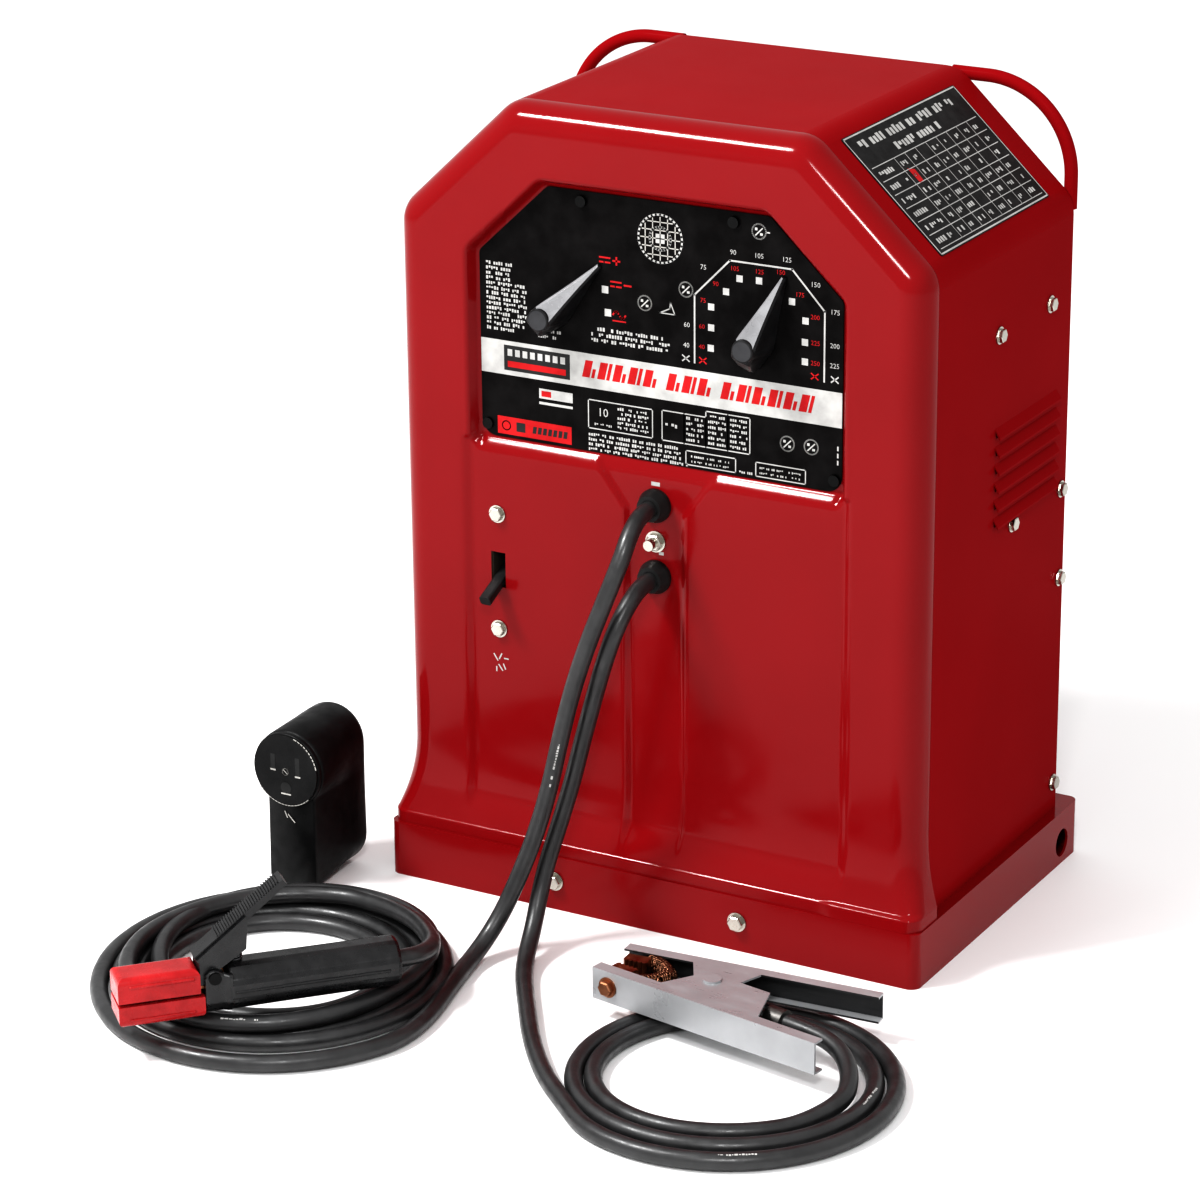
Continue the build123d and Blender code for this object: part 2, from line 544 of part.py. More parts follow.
with BuildPart() as fan_bracket:
    with Locations((FAN_X, 24, SHELF_Z + 2)):
        Box(64, 3, FAN_Z - SHELF_Z + 30, align=(Align.CENTER, Align.CENTER, Align.MIN))
    with Locations((FAN_X, 36, SHELF_Z + 2)):
        Box(64, 27, 3, align=(Align.CENTER, Align.CENTER, Align.MIN))
    with Locations(Location((FAN_X, 24, FAN_Z), (90, 0, 0))):
        Cylinder(12, 10, mode=Mode.SUBTRACT)
save(fan_bracket, "fan_bracket")
with BuildPart() as fan_motor:
    with Locations(Location((FAN_X, 25.5, FAN_Z), (-90, 0, 0))):
        Cylinder(36, 46, align=(Align.CENTER, Align.CENTER, Align.MIN))
        with Locations((0, 0, 46)):
            Cylinder(15, 6, align=(Align.CENTER, Align.CENTER, Align.MIN))
        Cylinder(SHAFT_R + RUN_GAP, 60, align=(Align.CENTER, Align.CENTER, Align.MIN), mode=Mode.SUBTRACT)
save(fan_motor, "fan_motor")
with BuildPart() as fan_blade:
    with Locations(Location((FAN_X, 40, FAN_Z), (-90, 0, 0))):
        Cylinder(SHAFT_R, 66, align=(Align.CENTER, Align.CENTER, Align.MIN))
        with Locations((0, 0, 42)):
            Cylinder(17, 22, align=(Align.CENTER, Align.CENTER, Align.MIN))
    for blade in range(5):
        with Locations(Location((FAN_X, 93, FAN_Z), (0, 72 * blade, 0))):
            with Locations(Location((0, 0, 48), (0, 0, 28))):
                Box(46, 2, 66)
    with Locations(Location((FAN_X, 93, FAN_Z), (-90, 0, 0))):
        Cylinder(FAN_R, 40, mode=Mode.INTERSECT)
save(fan_blade, "fan_blade")

with BuildPart() as power_cord_gland:
    with Locations(Location((GLAND_X, REAR_Y - SHEET, GLAND_Z), (-90, 0, 0))):
        with Locations((0, 0, -12)):
            Cylinder(12, 40, align=(Align.CENTER, Align.CENTER, Align.MIN))
        with Locations((0, 0, -8)):
            add(hex_head(17, 6))
        with Locations((0, 0, SHEET)):
            Cylinder(17, 12, align=(Align.CENTER, Align.CENTER, Align.MIN))
        with Locations((0, 0, -14)):
            Cylinder(8, 60, align=(Align.CENTER, Align.CENTER, Align.MIN), mode=Mode.SUBTRACT)
save(power_cord_gland, "power_cord_gland")

# ---------------------------------------------------------------- supply receptacle, standing loose
with BuildPart() as receptacle_body:
    with Locations((RECEPTACLE_X, RECEPTACLE_BACK_Y, 0)):
        with BuildSketch(front_plane(RECEPTACLE_BACK_Y)):
            with Locations((RECEPTACLE_X, RECEPTACLE_HEIGHT / 2)):
                RectangleRounded(RECEPTACLE_WIDTH, RECEPTACLE_HEIGHT, RECEPTACLE_WIDTH / 2 - 0.2)
        extrude(amount=26)
        with BuildSketch(front_plane(RECEPTACLE_BACK_Y - 26)):
            with Locations((RECEPTACLE_X, RECEPTACLE_DISC_Z)):
                Circle(RECEPTACLE_DISC_R)
            with Locations((RECEPTACLE_X, RECEPTACLE_DISC_Z / 2)):
                Rectangle(42, RECEPTACLE_DISC_Z)
        extrude(amount=RECEPTACLE_BACK_Y - 26 - RECEPTACLE_FRONT_Y)
    with Locations((RECEPTACLE_X, RECEPTACLE_BACK_Y - 13, 0)):
        Box(44, 26, 12, align=(Align.CENTER, Align.CENTER, Align.MIN))
save(receptacle_body, "receptacle_body")
with BuildPart() as receptacle_face:
    with BuildSketch(front_plane(RECEPTACLE_FRONT_Y)):
        with Locations((RECEPTACLE_X, RECEPTACLE_DISC_Z)):
            Circle(RECEPTACLE_DISC_R - 2)
            with Locations((-11, 6), (11, 6)):
                Rectangle(3.2, 12, mode=Mode.SUBTRACT)
            with Locations((0, -14)):
                Circle(4.6, mode=Mode.SUBTRACT)
    extrude(amount=5)
save(receptacle_face, "receptacle_face")

# ---------------------------------------------------------------- electrode holder
holder = Plane(origin=HOLDER_NECK, x_dir=HOLDER_DIRECTION, z_dir=(0, 0, 1))
holder_side = Plane(origin=HOLDER_NECK, x_dir=HOLDER_DIRECTION, z_dir=holder.y_dir * -1)
holder_end = Plane(origin=HOLDER_NECK, x_dir=holder.y_dir, z_dir=HOLDER_DIRECTION)
EAR_GAP, LEAD_END_U = 11.0, 121.0


def on_holder(u, v, w):
    """A place in the holder's own axes: along, across and up."""
    return holder * Location((u, v, w))


with BuildPart() as holder_handle:
    with BuildSketch(holder_end.offset(16)):
        Circle(17)
    extrude(amount=HOLDER_END - 16)
    chamfer(holder_handle.faces().sort_by(Axis(HOLDER_NECK, HOLDER_DIRECTION))[-1].edges(), 3)
    with Locations(on_holder(0.5, 0, 0)):
        Box(19, 30, 34, align=(Align.MIN, Align.CENTER, Align.CENTER))
    with Locations(on_holder(0.5, 0, -4)):
        Box(19.5, 2 * EAR_GAP, 40, align=(Align.MIN, Align.CENTER, Align.MIN), mode=Mode.SUBTRACT)
    with BuildSketch(holder_end.offset(16)):
        Circle(LEAD_D / 2)
    extrude(amount=HOLDER_END, mode=Mode.SUBTRACT)
    with BuildSketch(holder_end.offset(HOLDER_END - 9)):
        Circle(LEAD_D / 2 + 2)
    extrude(amount=12, mode=Mode.SUBTRACT)
    with Locations(on_holder(0, 0, -8)):
        Box(24, 16.1, 8.1, align=(Align.MIN, Align.CENTER, Align.CENTER), mode=Mode.SUBTRACT)
    with Locations(on_holder(HOLDER_PIVOT_U, 0, HOLDER_PIVOT_W) * Location((0, 0, 0), (90, 0, 0))):
        Cylinder(3, 60, mode=Mode.SUBTRACT)
save(holder_handle, "holder_handle")

with BuildPart() as holder_shank:
    with Locations(on_holder(3 - JAW_LENGTH, 0, -8)):
        Box(JAW_LENGTH + 21, 16, 8, align=(Align.MIN, Align.CENTER, Align.CENTER))
    with Locations(on_holder(3 - JAW_LENGTH, 0, -3.9)):
        Box(50, 16, 2.4, align=(Align.MIN, Align.CENTER, Align.CENTER))
    with BuildSketch(holder_end.offset(18)):
        Circle(LEAD_D / 2 - 0.05)
    extrude(amount=LEAD_END_U - 18)
save(holder_shank, "holder_shank")

with BuildPart() as holder_lower_jaw_cover:
    with Locations(on_holder(-JAW_LENGTH, 0, -9.5)):
        Box(JAW_LENGTH - 1, 28, 16, align=(Align.MIN, Align.CENTER, Align.CENTER))
    fillet(holder_lower_jaw_cover.edges().filter_by(lambda e: e.center().Z < HOLDER_Z - 16), 5)
    with Locations(on_holder(3 - JAW_LENGTH, 0, -6.9)):
        Box(JAW_LENGTH, 16.2, 12.6, align=(Align.MIN, Align.CENTER, Align.CENTER), mode=Mode.SUBTRACT)
save(holder_lower_jaw_cover, "holder_lower_jaw_cover")

with BuildPart() as holder_upper_jaw:
    with Locations(on_holder(3 - JAW_LENGTH, 0, 2.2)):
        Box(JAW_LENGTH + 4, 16, 7, align=(Align.MIN, Align.CENTER, Align.MIN))
    with Locations(on_holder(HOLDER_PIVOT_U, 0, HOLDER_PIVOT_W) * Location((0, 0, 0), (90, 0, 0))):
        Cylinder(8, 16)
        Cylinder(3 + RUN_GAP, 40, mode=Mode.SUBTRACT)
save(holder_upper_jaw, "holder_upper_jaw")

with BuildPart() as holder_upper_jaw_cover:
    with Locations(on_holder(-JAW_LENGTH, 0, 1.2)):
        Box(JAW_LENGTH - 4, 28, 18, align=(Align.MIN, Align.CENTER, Align.MIN))
    fillet(holder_upper_jaw_cover.edges().filter_by(lambda e: e.center().Z > HOLDER_Z + 18), 5)
    with Locations(on_holder(3 - JAW_LENGTH, 0, 1.2)):
        Box(JAW_LENGTH, 16.2, 8.1, align=(Align.MIN, Align.CENTER, Align.MIN), mode=Mode.SUBTRACT)
save(holder_upper_jaw_cover, "holder_upper_jaw_cover")

lever_start = Vector(-3, 21.5)
lever_along = Vector(cos(radians(LEVER_ANGLE)), sin(radians(LEVER_ANGLE)))
lever_up = Vector(-lever_along.Y, lever_along.X)
lever_tip = lever_start + lever_along * LEVER_LENGTH


def side_point(point):
    """Point in the holder's side view, as (along, up)."""
    return (point.X, point.Y)


with BuildPart() as holder_lever:
    web = polygon([(HOLDER_PIVOT_U - 6, HOLDER_PIVOT_W + 3), (HOLDER_PIVOT_U + 6, HOLDER_PIVOT_W + 5),
                   (30, 29), side_point(lever_start + lever_along * 44), side_point(lever_start)])
    with BuildSketch(holder_side):
        add(web)
    extrude(amount=10.6, both=True)
    with Locations(on_holder(HOLDER_PIVOT_U, 0, HOLDER_PIVOT_W) * Location((0, 0, 0), (90, 0, 0))):
        Cylinder(7, 21.2)
    with BuildSketch(holder_side):
        add(web)
        with Locations((HOLDER_PIVOT_U, HOLDER_PIVOT_W)):
            Circle(12)
    extrude(amount=8.2, both=True, mode=Mode.SUBTRACT)
    with BuildSketch(holder_side):
        add(polygon([side_point(p) for p in (
            lever_start, lever_tip, lever_tip + lever_up * 5, lever_start + lever_up * 6)]))
    extrude(amount=8, both=True)
    with BuildSketch(holder_side):
        add(polygon([side_point(p) for p in (
            lever_start, lever_start + lever_along * 44, lever_start + lever_along * 46 + lever_up * 4,
            lever_start + lever_up * 4)]))
    extrude(amount=10.6, both=True)
    with Locations(on_holder(HOLDER_PIVOT_U, 0, HOLDER_PIVOT_W) * Location((0, 0, 0), (90, 0, 0))):
        Cylinder(3 + RUN_GAP, 40, mode=Mode.SUBTRACT)
save(holder_lever, "holder_lever")

with BuildPart() as holder_pivot_pin:
    with Locations(on_holder(HOLDER_PIVOT_U, 0, HOLDER_PIVOT_W) * Location((0, 0, 0), (90, 0, 0))):
        Cylinder(3, 32)
        for side in (-1, 1):
            with Locations((0, 0, side * 16)):
                Cylinder(4.5, 2)
save(holder_pivot_pin, "holder_pivot_pin")

with BuildPart() as holder_spring:
    with BuildSketch(Plane(origin=on_holder(24, 0, 17.2).position, z_dir=(0, 0, 1))):
        Circle(5)
        Circle(3.6, mode=Mode.SUBTRACT)
    extrude(amount=12)
save(holder_spring, "holder_spring")

# ---------------------------------------------------------------- work clamp
def clamp_frame(angle):
    """Plane at the rivet, local x along one arm towards its handle, z up."""
    return Plane(
        origin=(CLAMP_PIVOT[0], CLAMP_PIVOT[1], 0),
        x_dir=(cos(radians(angle)), sin(radians(angle)), 0), z_dir=(0, 0, 1),
    )


near_frame, far_frame = clamp_frame(CLAMP_NEAR_ANGLE), clamp_frame(CLAMP_FAR_ANGLE)
CLAMP_SHEET = 1.5
LUG_X = 36.0


def clamp_flange(side, reach):
    """Plan of one flange: narrow at both ends, wide over the rivet."""
    web = side * CLAMP_HALF
    inner_tip, inner_tail = side * (CLAMP_HALF - 10), side * (CLAMP_HALF - 9)
    return polygon([
        (CLAMP_TIP, web), (CLAMP_TAIL, web), (CLAMP_TAIL, inner_tail), (reach + 16, inner_tail),
        (reach, -side * 9), (-10, -side * 9), (-26, inner_tip), (CLAMP_TIP, inner_tip),
    ])


def clamp_arm(frame, side, bottom, top, reach):
    """Folded arm: an outer web with a flange above and below, drilled for the rivet."""
    with BuildPart(mode=Mode.PRIVATE) as arm:
        for level in (bottom, top - CLAMP_SHEET):
            with BuildSketch(frame.offset(level)):
                add(clamp_flange(side, reach))
            extrude(amount=CLAMP_SHEET)
        with Locations(frame * Location(((CLAMP_TIP + CLAMP_TAIL) / 2, side * CLAMP_HALF, bottom))):
            Box(CLAMP_TAIL - CLAMP_TIP, CLAMP_SHEET, top - bottom,
                align=(Align.CENTER, Align.MAX if side > 0 else Align.MIN, Align.MIN))
        with Locations(frame * Location((0, 0, (bottom + top) / 2))):
            Cylinder(3.5 + RUN_GAP, 60, mode=Mode.SUBTRACT)
        with Locations(frame * Location((CLAMP_TIP + 14, side * CLAMP_HALF, (bottom + top) / 2), (90, 0, 0))):
            Cylinder(3.05, 8, mode=Mode.SUBTRACT)
    return arm.part


with BuildPart() as clamp_near_arm:
    add(clamp_arm(near_frame, -1, CLAMP_BOTTOM, CLAMP_TOP, 44))
    with Locations(near_frame * Location((LUG_X, 0, CLAMP_BOTTOM))):
        Cylinder(3.05, 8, mode=Mode.SUBTRACT)
save(clamp_near_arm, "clamp_near_arm")
with BuildPart() as clamp_far_arm:
    add(clamp_arm(far_frame, 1, CLAMP_BOTTOM + 1.9, CLAMP_TOP - 1.9, 10))
save(clamp_far_arm, "clamp_far_arm")

clamp_mid = (CLAMP_BOTTOM + CLAMP_TOP) / 2
with BuildPart() as clamp_rivet:
    with Locations((CLAMP_PIVOT[0], CLAMP_PIVOT[1], clamp_mid)):
        Cylinder(3.5, CLAMP_TOP - CLAMP_BOTTOM)
        for side in (-1, 1):
            with Locations((0, 0, side * ((CLAMP_TOP - CLAMP_BOTTOM) / 2 + 0.75))):
                Cylinder(6.5, 1.5)
save(clamp_rivet, "clamp_rivet")

with BuildPart() as clamp_spring:
    with BuildSketch(Plane(origin=(CLAMP_PIVOT[0], CLAMP_PIVOT[1], clamp_mid - 7))):
        Circle(8.5)
        Circle(5.5, mode=Mode.SUBTRACT)
    extrude(amount=14)
save(clamp_spring, "clamp_spring")


def jaw_pad(frame, side):
    """Toothed copper contact on a bolt through the arm's web."""
    teeth = 5
    pitch = 18 / teeth
    face = [(CLAMP_TIP + 5 + pitch * index / 2, side * (1.6 if index % 2 else 3.4))
            for index in range(2 * teeth + 1)]
    profile = face + [(CLAMP_TIP + 23, side * 13), (CLAMP_TIP + 5, side * 13)]
    shift = side * tan(radians(6.9)) * -CLAMP_TIP
    with BuildPart(mode=Mode.PRIVATE) as pad:
        with BuildSketch(frame.offset(clamp_mid - 8.5)):
            with Locations((0, shift)):
                add(polygon(profile))
        extrude(amount=17)
        with Locations(frame * Location((CLAMP_TIP + 14, side * 12, clamp_mid), (-90 * side, 0, 0))):
            Cylinder(3, CLAMP_HALF - 12, align=(Align.CENTER, Align.CENTER, Align.MIN))
            with Locations((0, 0, CLAMP_HALF - 12)):
                Cylinder(7.5, 1.0, align=(Align.CENTER, Align.CENTER, Align.MIN))
                add(hex_head(5.8, 5))
    return pad.part


with BuildPart() as clamp_near_jaw:
    add(jaw_pad(near_frame, -1))
save(clamp_near_jaw, "clamp_near_jaw")
with BuildPart() as clamp_far_jaw:
    add(jaw_pad(far_frame, 1))
save(clamp_far_jaw, "clamp_far_jaw")

with BuildPart() as clamp_shunt:
    mean_frame = clamp_frame((CLAMP_NEAR_ANGLE + CLAMP_FAR_ANGLE) / 2)
    with BuildSketch(mean_frame.offset(clamp_mid - 6)):
        with BuildLine():
            Polyline((-52, -20), (-40, -18), (-30, -6), (-30, 6), (-40, 18), (-52, 20), (-54, 16),
                     (-43, 14), (-35, 4), (-35, -4), (-43, -14), (-54, -16), close=True)
        make_face()
    extrude(amount=12)
save(clamp_shunt, "clamp_shunt")

LUG_Z = CLAMP_BOTTOM + CLAMP_SHEET
with BuildPart() as clamp_cable_lug:
    with Locations(near_frame * Location((LUG_X, 0, LUG_Z))):
        Cylinder(8, 3, align=(Align.CENTER, Align.CENTER, Align.MIN))
        Cylinder(3, 6, align=(Align.CENTER, Align.CENTER, Align.CENTER))
        with Locations((0, 0, 3)):
            add(hex_head(5.5, 5))
    with Locations(near_frame * Location((LUG_X + 4, 0, LUG_Z + 3))):
        Box(16, 9, 3, align=(Align.MIN, Align.CENTER, Align.MAX))
    with BuildSketch(Plane(origin=(near_frame * Location((LUG_X + 14, 0, LUG_Z + 9))).position,
                           x_dir=(0, 0, 1), z_dir=near_frame.x_dir)):
        Circle(9)
    extrude(amount=14)
save(clamp_cable_lug, "clamp_cable_lug")

# ---------------------------------------------------------------- welding leads
LEAD_R = LEAD_D / 2


def lead_route(points):
    """Straight runs joined by arcs as large as the two runs beside each corner allow."""
    vectors = [Vector(*point) for point in points]
    radii = []
    for before, here, after in zip(vectors, vectors[1:], vectors[2:]):
        arriving, leaving = here - before, after - here
        shorter = min(arriving.length, leaving.length)
        half_turn = radians(arriving.get_angle(leaving)) / 2
        radii.append(0.45 * shorter / tan(half_turn))
    return vectors, radii


def lead(name, points):
    """Round rubber lead along a route; prints its arcs, length and volume check."""
    vectors, radii = lead_route(points)
    with BuildPart() as tube:
        with BuildLine() as path:
            FilletPolyline(*vectors, radius=radii)
        with BuildSketch(Plane(origin=vectors[0], z_dir=vectors[1] - vectors[0])):
            Circle(LEAD_R)
        sweep(path=path.wires()[0])
    length = path.wires()[0].length
    print(name, "radii", [round(radius) for radius in radii], "length", round(length),
          "volume ratio", round(tube.part.volume / (length * pi * LEAD_R ** 2), 4))
    save(tube, name)


ELECTRODE_ROUTE = [
    (0, -127, 327), (0, -146.5, 327), (1, -164.5, 318.5), (1, -178, 302), (-7, -188, 273),
    (-19, -193, 239), (-30, -196, 203), (-38, -200, 166), (-45, -204, 128), (-54, -209, 92),
    (-64, -216, 60), (-72, -225, 35), (-77.5, -239, 17.5), (-79, -259, 8), (-76, -280.5, 6.5),
]
ELECTRODE_TAIL_ROUTE = [
    (-207, -236, 20), (-178, -239, 21), (-150, -249, 24.5), (-123, -266, 29), (-99, -289, 34),
    (-80.5, -311, 38.5), (-75, -333, 42), (0, 0, 0), (0, 0, 0),
]
ELECTRODE_TAIL_ROUTE[-2] = tuple(on_holder(HOLDER_END + 3.5, 0, 0).position)
ELECTRODE_TAIL_ROUTE[-1] = tuple(on_holder(LEAD_END_U, 0, 0).position)
WORK_ROUTE = [
    (0, -127, 272.6), (0, -146.5, 272.6), (-1, -164.5, 264), (-5, -177, 247), (-12, -183, 220),
    (-22, -181.5, 188), (-31, -182, 155), (-38, -184.5, 124), (-46, -190, 92), (-52, -198, 64),
    (-53, -208, 41), (-50, -222, 23), (-45, -240, 11.5), (-36, -260, 7), (-22, -283, 6.5),
    (-4, -310, 6.5), (17, -342, 6.5), (41, -374, 6.5), (66, -402, 6.5), (90, -423, 6.5),
]
WORK_TAIL_ROUTE = [
    (0, 0, 0), (0, 0, 0), (228, -291.5, 25), (245, -303.5, 21), (257, -322, 16), (262, -343, 11),
    (262, -362, 8),
]
lug_mouth = (near_frame * Location((LUG_X + 28, 0, LUG_Z + 9))).position
lug_run = lug_mouth + near_frame.x_dir * 20
WORK_TAIL_ROUTE[0] = tuple(lug_mouth)
WORK_TAIL_ROUTE[1] = tuple(lug_run)

lead("electrode_lead", ELECTRODE_ROUTE)
lead("electrode_lead_tail", ELECTRODE_TAIL_ROUTE)
lead("work_lead", WORK_ROUTE)
lead("work_lead_tail", WORK_TAIL_ROUTE)


def coil_solid(centre, radii, height):
    """Rounded ring that encloses a loose flat coil of lead."""
    inner, outer = radii
    with BuildPart(mode=Mode.PRIVATE) as ring:
        with BuildSketch(Plane.XZ):
            with Locations(((inner + outer) / 2, height / 2)):
                RectangleRounded(outer - inner, height, min(height / 2 - 0.2, LEAD_R - 0.2))
        revolve(axis=Axis.Z)
    with BuildPart(mode=Mode.PRIVATE) as placed:
        with Locations((centre[0], centre[1], 0)):
            add(ring.part)
    return placed.part


with BuildPart() as electrode_lead_coil:
    add(coil_solid(ELECTRODE_COIL, ELECTRODE_COIL_R, ELECTRODE_COIL_HEIGHT))
save(electrode_lead_coil, "electrode_lead_coil")
with BuildPart() as work_lead_coil:
    add(coil_solid(WORK_COIL, WORK_COIL_R, WORK_COIL_HEIGHT))
save(work_lead_coil, "work_lead_coil")
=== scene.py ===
import json
import math

import bpy
from mathutils import Matrix, Vector


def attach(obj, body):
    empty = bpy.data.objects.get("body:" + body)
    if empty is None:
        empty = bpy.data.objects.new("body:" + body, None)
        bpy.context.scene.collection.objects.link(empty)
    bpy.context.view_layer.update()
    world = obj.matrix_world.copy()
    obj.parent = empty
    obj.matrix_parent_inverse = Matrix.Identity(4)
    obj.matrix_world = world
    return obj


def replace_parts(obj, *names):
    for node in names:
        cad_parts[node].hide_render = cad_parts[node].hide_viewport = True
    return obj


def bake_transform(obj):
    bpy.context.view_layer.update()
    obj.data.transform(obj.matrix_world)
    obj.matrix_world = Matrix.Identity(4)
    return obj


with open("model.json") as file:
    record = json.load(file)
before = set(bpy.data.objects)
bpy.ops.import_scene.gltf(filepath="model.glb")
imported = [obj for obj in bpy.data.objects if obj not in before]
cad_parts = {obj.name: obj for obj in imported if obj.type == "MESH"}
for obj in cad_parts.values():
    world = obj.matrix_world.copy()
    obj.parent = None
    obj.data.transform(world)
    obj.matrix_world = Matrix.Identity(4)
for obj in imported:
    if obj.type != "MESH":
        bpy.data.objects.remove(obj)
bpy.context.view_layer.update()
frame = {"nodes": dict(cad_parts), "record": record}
nodes = frame["nodes"]
MM = 0.001
scene = bpy.context.scene
scene.view_settings.view_transform = "Standard"
scene.view_settings.look = "High Contrast"

# ---------------------------------------------------------------- camera
YAW, PITCH, ROLL = math.radians(-29.67), math.radians(20.33), math.radians(-0.53)
LENS_MM, SENSOR_MM = 125.37, 36
CAMERA_PLACE = Vector((1.3692, -2.6105, 1.3060))
forward = Vector((math.sin(YAW) * math.cos(PITCH), math.cos(YAW) * math.cos(PITCH),
                  -math.sin(PITCH)))
level = Vector((math.cos(YAW), -math.sin(YAW), 0))
upright = level.cross(forward)
cam_x = math.cos(ROLL) * level + math.sin(ROLL) * upright
cam_y = -math.sin(ROLL) * level + math.cos(ROLL) * upright
camera_data = bpy.data.cameras.new("camera")
camera_data.lens, camera_data.sensor_width = LENS_MM, SENSOR_MM
camera = bpy.data.objects.new("camera", camera_data)
scene.collection.objects.link(camera)
turn = Matrix((cam_x, cam_y, -forward)).transposed().to_4x4()
camera.matrix_world = Matrix.Translation(CAMERA_PLACE) @ turn
scene.camera = camera


# ---------------------------------------------------------------- material helpers
def new_material(name, color, roughness=0.5, metallic=0.0, **sockets):
    """Principled material; sockets are further constant inputs by name."""
    mat = bpy.data.materials.new(name)
    mat.use_nodes = True
    tree = mat.node_tree
    shader = tree.nodes["Principled BSDF"]
    shader.inputs["Base Color"].default_value = (*color, 1)
    shader.inputs["Roughness"].default_value = roughness
    shader.inputs["Metallic"].default_value = metallic
    for key, value in sockets.items():
        shader.inputs[key.replace("_", " ")].default_value = value
    return mat


def noise(mat, scale, detail=4, rough=0.55, stretch=(1, 1, 1)):
    """Noise in object coordinates; returns its value socket."""
    tree = mat.node_tree
    coords = tree.nodes.new("ShaderNodeTexCoord")
    mapping = tree.nodes.new("ShaderNodeMapping")
    mapping.inputs["Scale"].default_value = stretch
    tex = tree.nodes.new("ShaderNodeTexNoise")
    tex.inputs["Scale"].default_value = scale
    tex.inputs["Detail"].default_value = detail
    tex.inputs["Roughness"].default_value = rough
    tree.links.new(coords.outputs["Object"], mapping.inputs["Vector"])
    tree.links.new(mapping.outputs["Vector"], tex.inputs["Vector"])
    return tex.outputs["Fac"]


def ramp(mat, fac, low, high, at=(0.35, 0.65)):
    """Colour ramp between two colours or grey values."""
    node = mat.node_tree.nodes.new("ShaderNodeValToRGB")
    for element, value, place in zip(node.color_ramp.elements, (low, high), at):
        rgb = value if isinstance(value, tuple) else (value, value, value)
        element.color = (*rgb, 1)
        element.position = place
    mat.node_tree.links.new(fac, node.inputs["Fac"])
    return node.outputs["Color"]


def drive(mat, socket, output):
    """Feed one input of the Principled shader from a node's output."""
    mat.node_tree.links.new(output, mat.node_tree.nodes["Principled BSDF"].inputs[socket])


def bump(mat, height, strength, distance):
    """Fine relief in the shading; distance in metres."""
    node = mat.node_tree.nodes.new("ShaderNodeBump")
    node.inputs["Strength"].default_value = strength
    node.inputs["Distance"].default_value = distance
    mat.node_tree.links.new(height, node.inputs["Height"])
    drive(mat, "Normal", node.outputs["Normal"])


def paint(name, color, darker, roughness=0.2, level=0.004):
    """Enamel over sheet steel: faint orange peel and uneven gloss."""
    mat = new_material(name, color, roughness, 0.0, Specular_IOR_Level=level)
    drive(mat, "Base Color", ramp(mat, noise(mat, 9, 3), darker, color, (0.3, 0.7)))
    drive(mat, "Roughness", ramp(mat, noise(mat, 40, 3), roughness - 0.02, roughness + 0.04))
    bump(mat, noise(mat, 420, 2), 0.03, 0.0002)
    return mat


def plated(name, color, roughness=0.3, stretch=(1, 1, 1), scale=60, grain=0.12, metal=1.0):
    """Plated or bare metal with rolling grain and a blotchy sheen."""
    mat = new_material(name, color, roughness, metal)
    dull = tuple(0.78 * c for c in color)
    drive(mat, "Base Color", ramp(mat, noise(mat, scale, 5), dull, color, (0.3, 0.6)))
    streaks = noise(mat, scale * 2, 4, 0.6, stretch)
    drive(mat, "Roughness", ramp(mat, streaks, roughness - 0.08, roughness + 0.12))
    bump(mat, noise(mat, scale * 14, 3, 0.6, stretch), grain, 0.0002)
    return mat


def moulded(name, color, roughness=0.45, texture=0.25, scale=900, level=0.22):
    """Moulded plastic with a fine spark-eroded texture."""
    mat = new_material(name, color, roughness, 0.0, Specular_IOR_Level=level)
    lighter = tuple(1.5 * c + 0.004 for c in color)
    drive(mat, "Base Color", ramp(mat, noise(mat, 55, 4), color, lighter, (0.35, 0.75)))
    drive(mat, "Roughness", ramp(mat, noise(mat, 120, 3), roughness - 0.06, roughness + 0.1))
    bump(mat, noise(mat, scale, 2), texture, 0.0003)
    return mat


RED = (0.215, 0.0052, 0.0078)
RED_DARK = (0.200, 0.0045, 0.0068)
mats = {name: make(name, *values) for name, (make, *values) in {
    "cabinet_paint": (paint, RED, RED_DARK),
    "nameplate": (moulded, (0.0035, 0.003, 0.003), 0.34, 0.05, 900, 0.05),
    "rating_label": (moulded, (0.006, 0.0055, 0.0055), 0.38, 0.05, 900, 0.12),
    "black_screw": (plated, (0.018, 0.018, 0.018), 0.35),
    "zinc": (plated, (0.52, 0.50, 0.45), 0.22),
    "black_plastic": (moulded, (0.010, 0.010, 0.010), 0.42),
    "switch_plastic": (moulded, (0.035, 0.026, 0.02), 0.4),
    "knob_plastic": (moulded, (0.009, 0.009, 0.0095), 0.36, 0.12),
    "shaft_steel": (plated, (0.5, 0.5, 0.5), 0.3),
    "core_steel": (plated, (0.10, 0.10, 0.11), 0.55, (1, 1, 12)),
    "winding": (plated, (0.5, 0.2, 0.09), 0.35, (1, 1, 30), 90, 0.5),
    "inner_steel": (plated, (0.5, 0.52, 0.54), 0.35),
    "heat_sink": (plated, (0.72, 0.72, 0.73), 0.34),
    "motor_steel": (moulded, (0.02, 0.02, 0.022), 0.4),
    "receptacle_black": (moulded, (0.004, 0.004, 0.0042), 0.38, 0.3, 900, 0.16),
    "holder_black": (moulded, (0.0055, 0.0055, 0.006), 0.28, 0.2, 900, 0.5),
    "holder_red": (moulded, (0.27, 0.008, 0.010), 0.24, 0.12, 900, 0.3),
    "copper": (plated, (0.34, 0.155, 0.085), 0.38),
    "spring_steel": (plated, (0.10, 0.10, 0.105), 0.3),
    "clamp_zinc": (plated, (0.40, 0.405, 0.415), 0.34, (1, 3, 1), 14, 0.05, 0.5),
    "lead_rubber": (moulded, (0.016, 0.016, 0.0165), 0.36, 0.25, 700, 0.6),
}.items()}
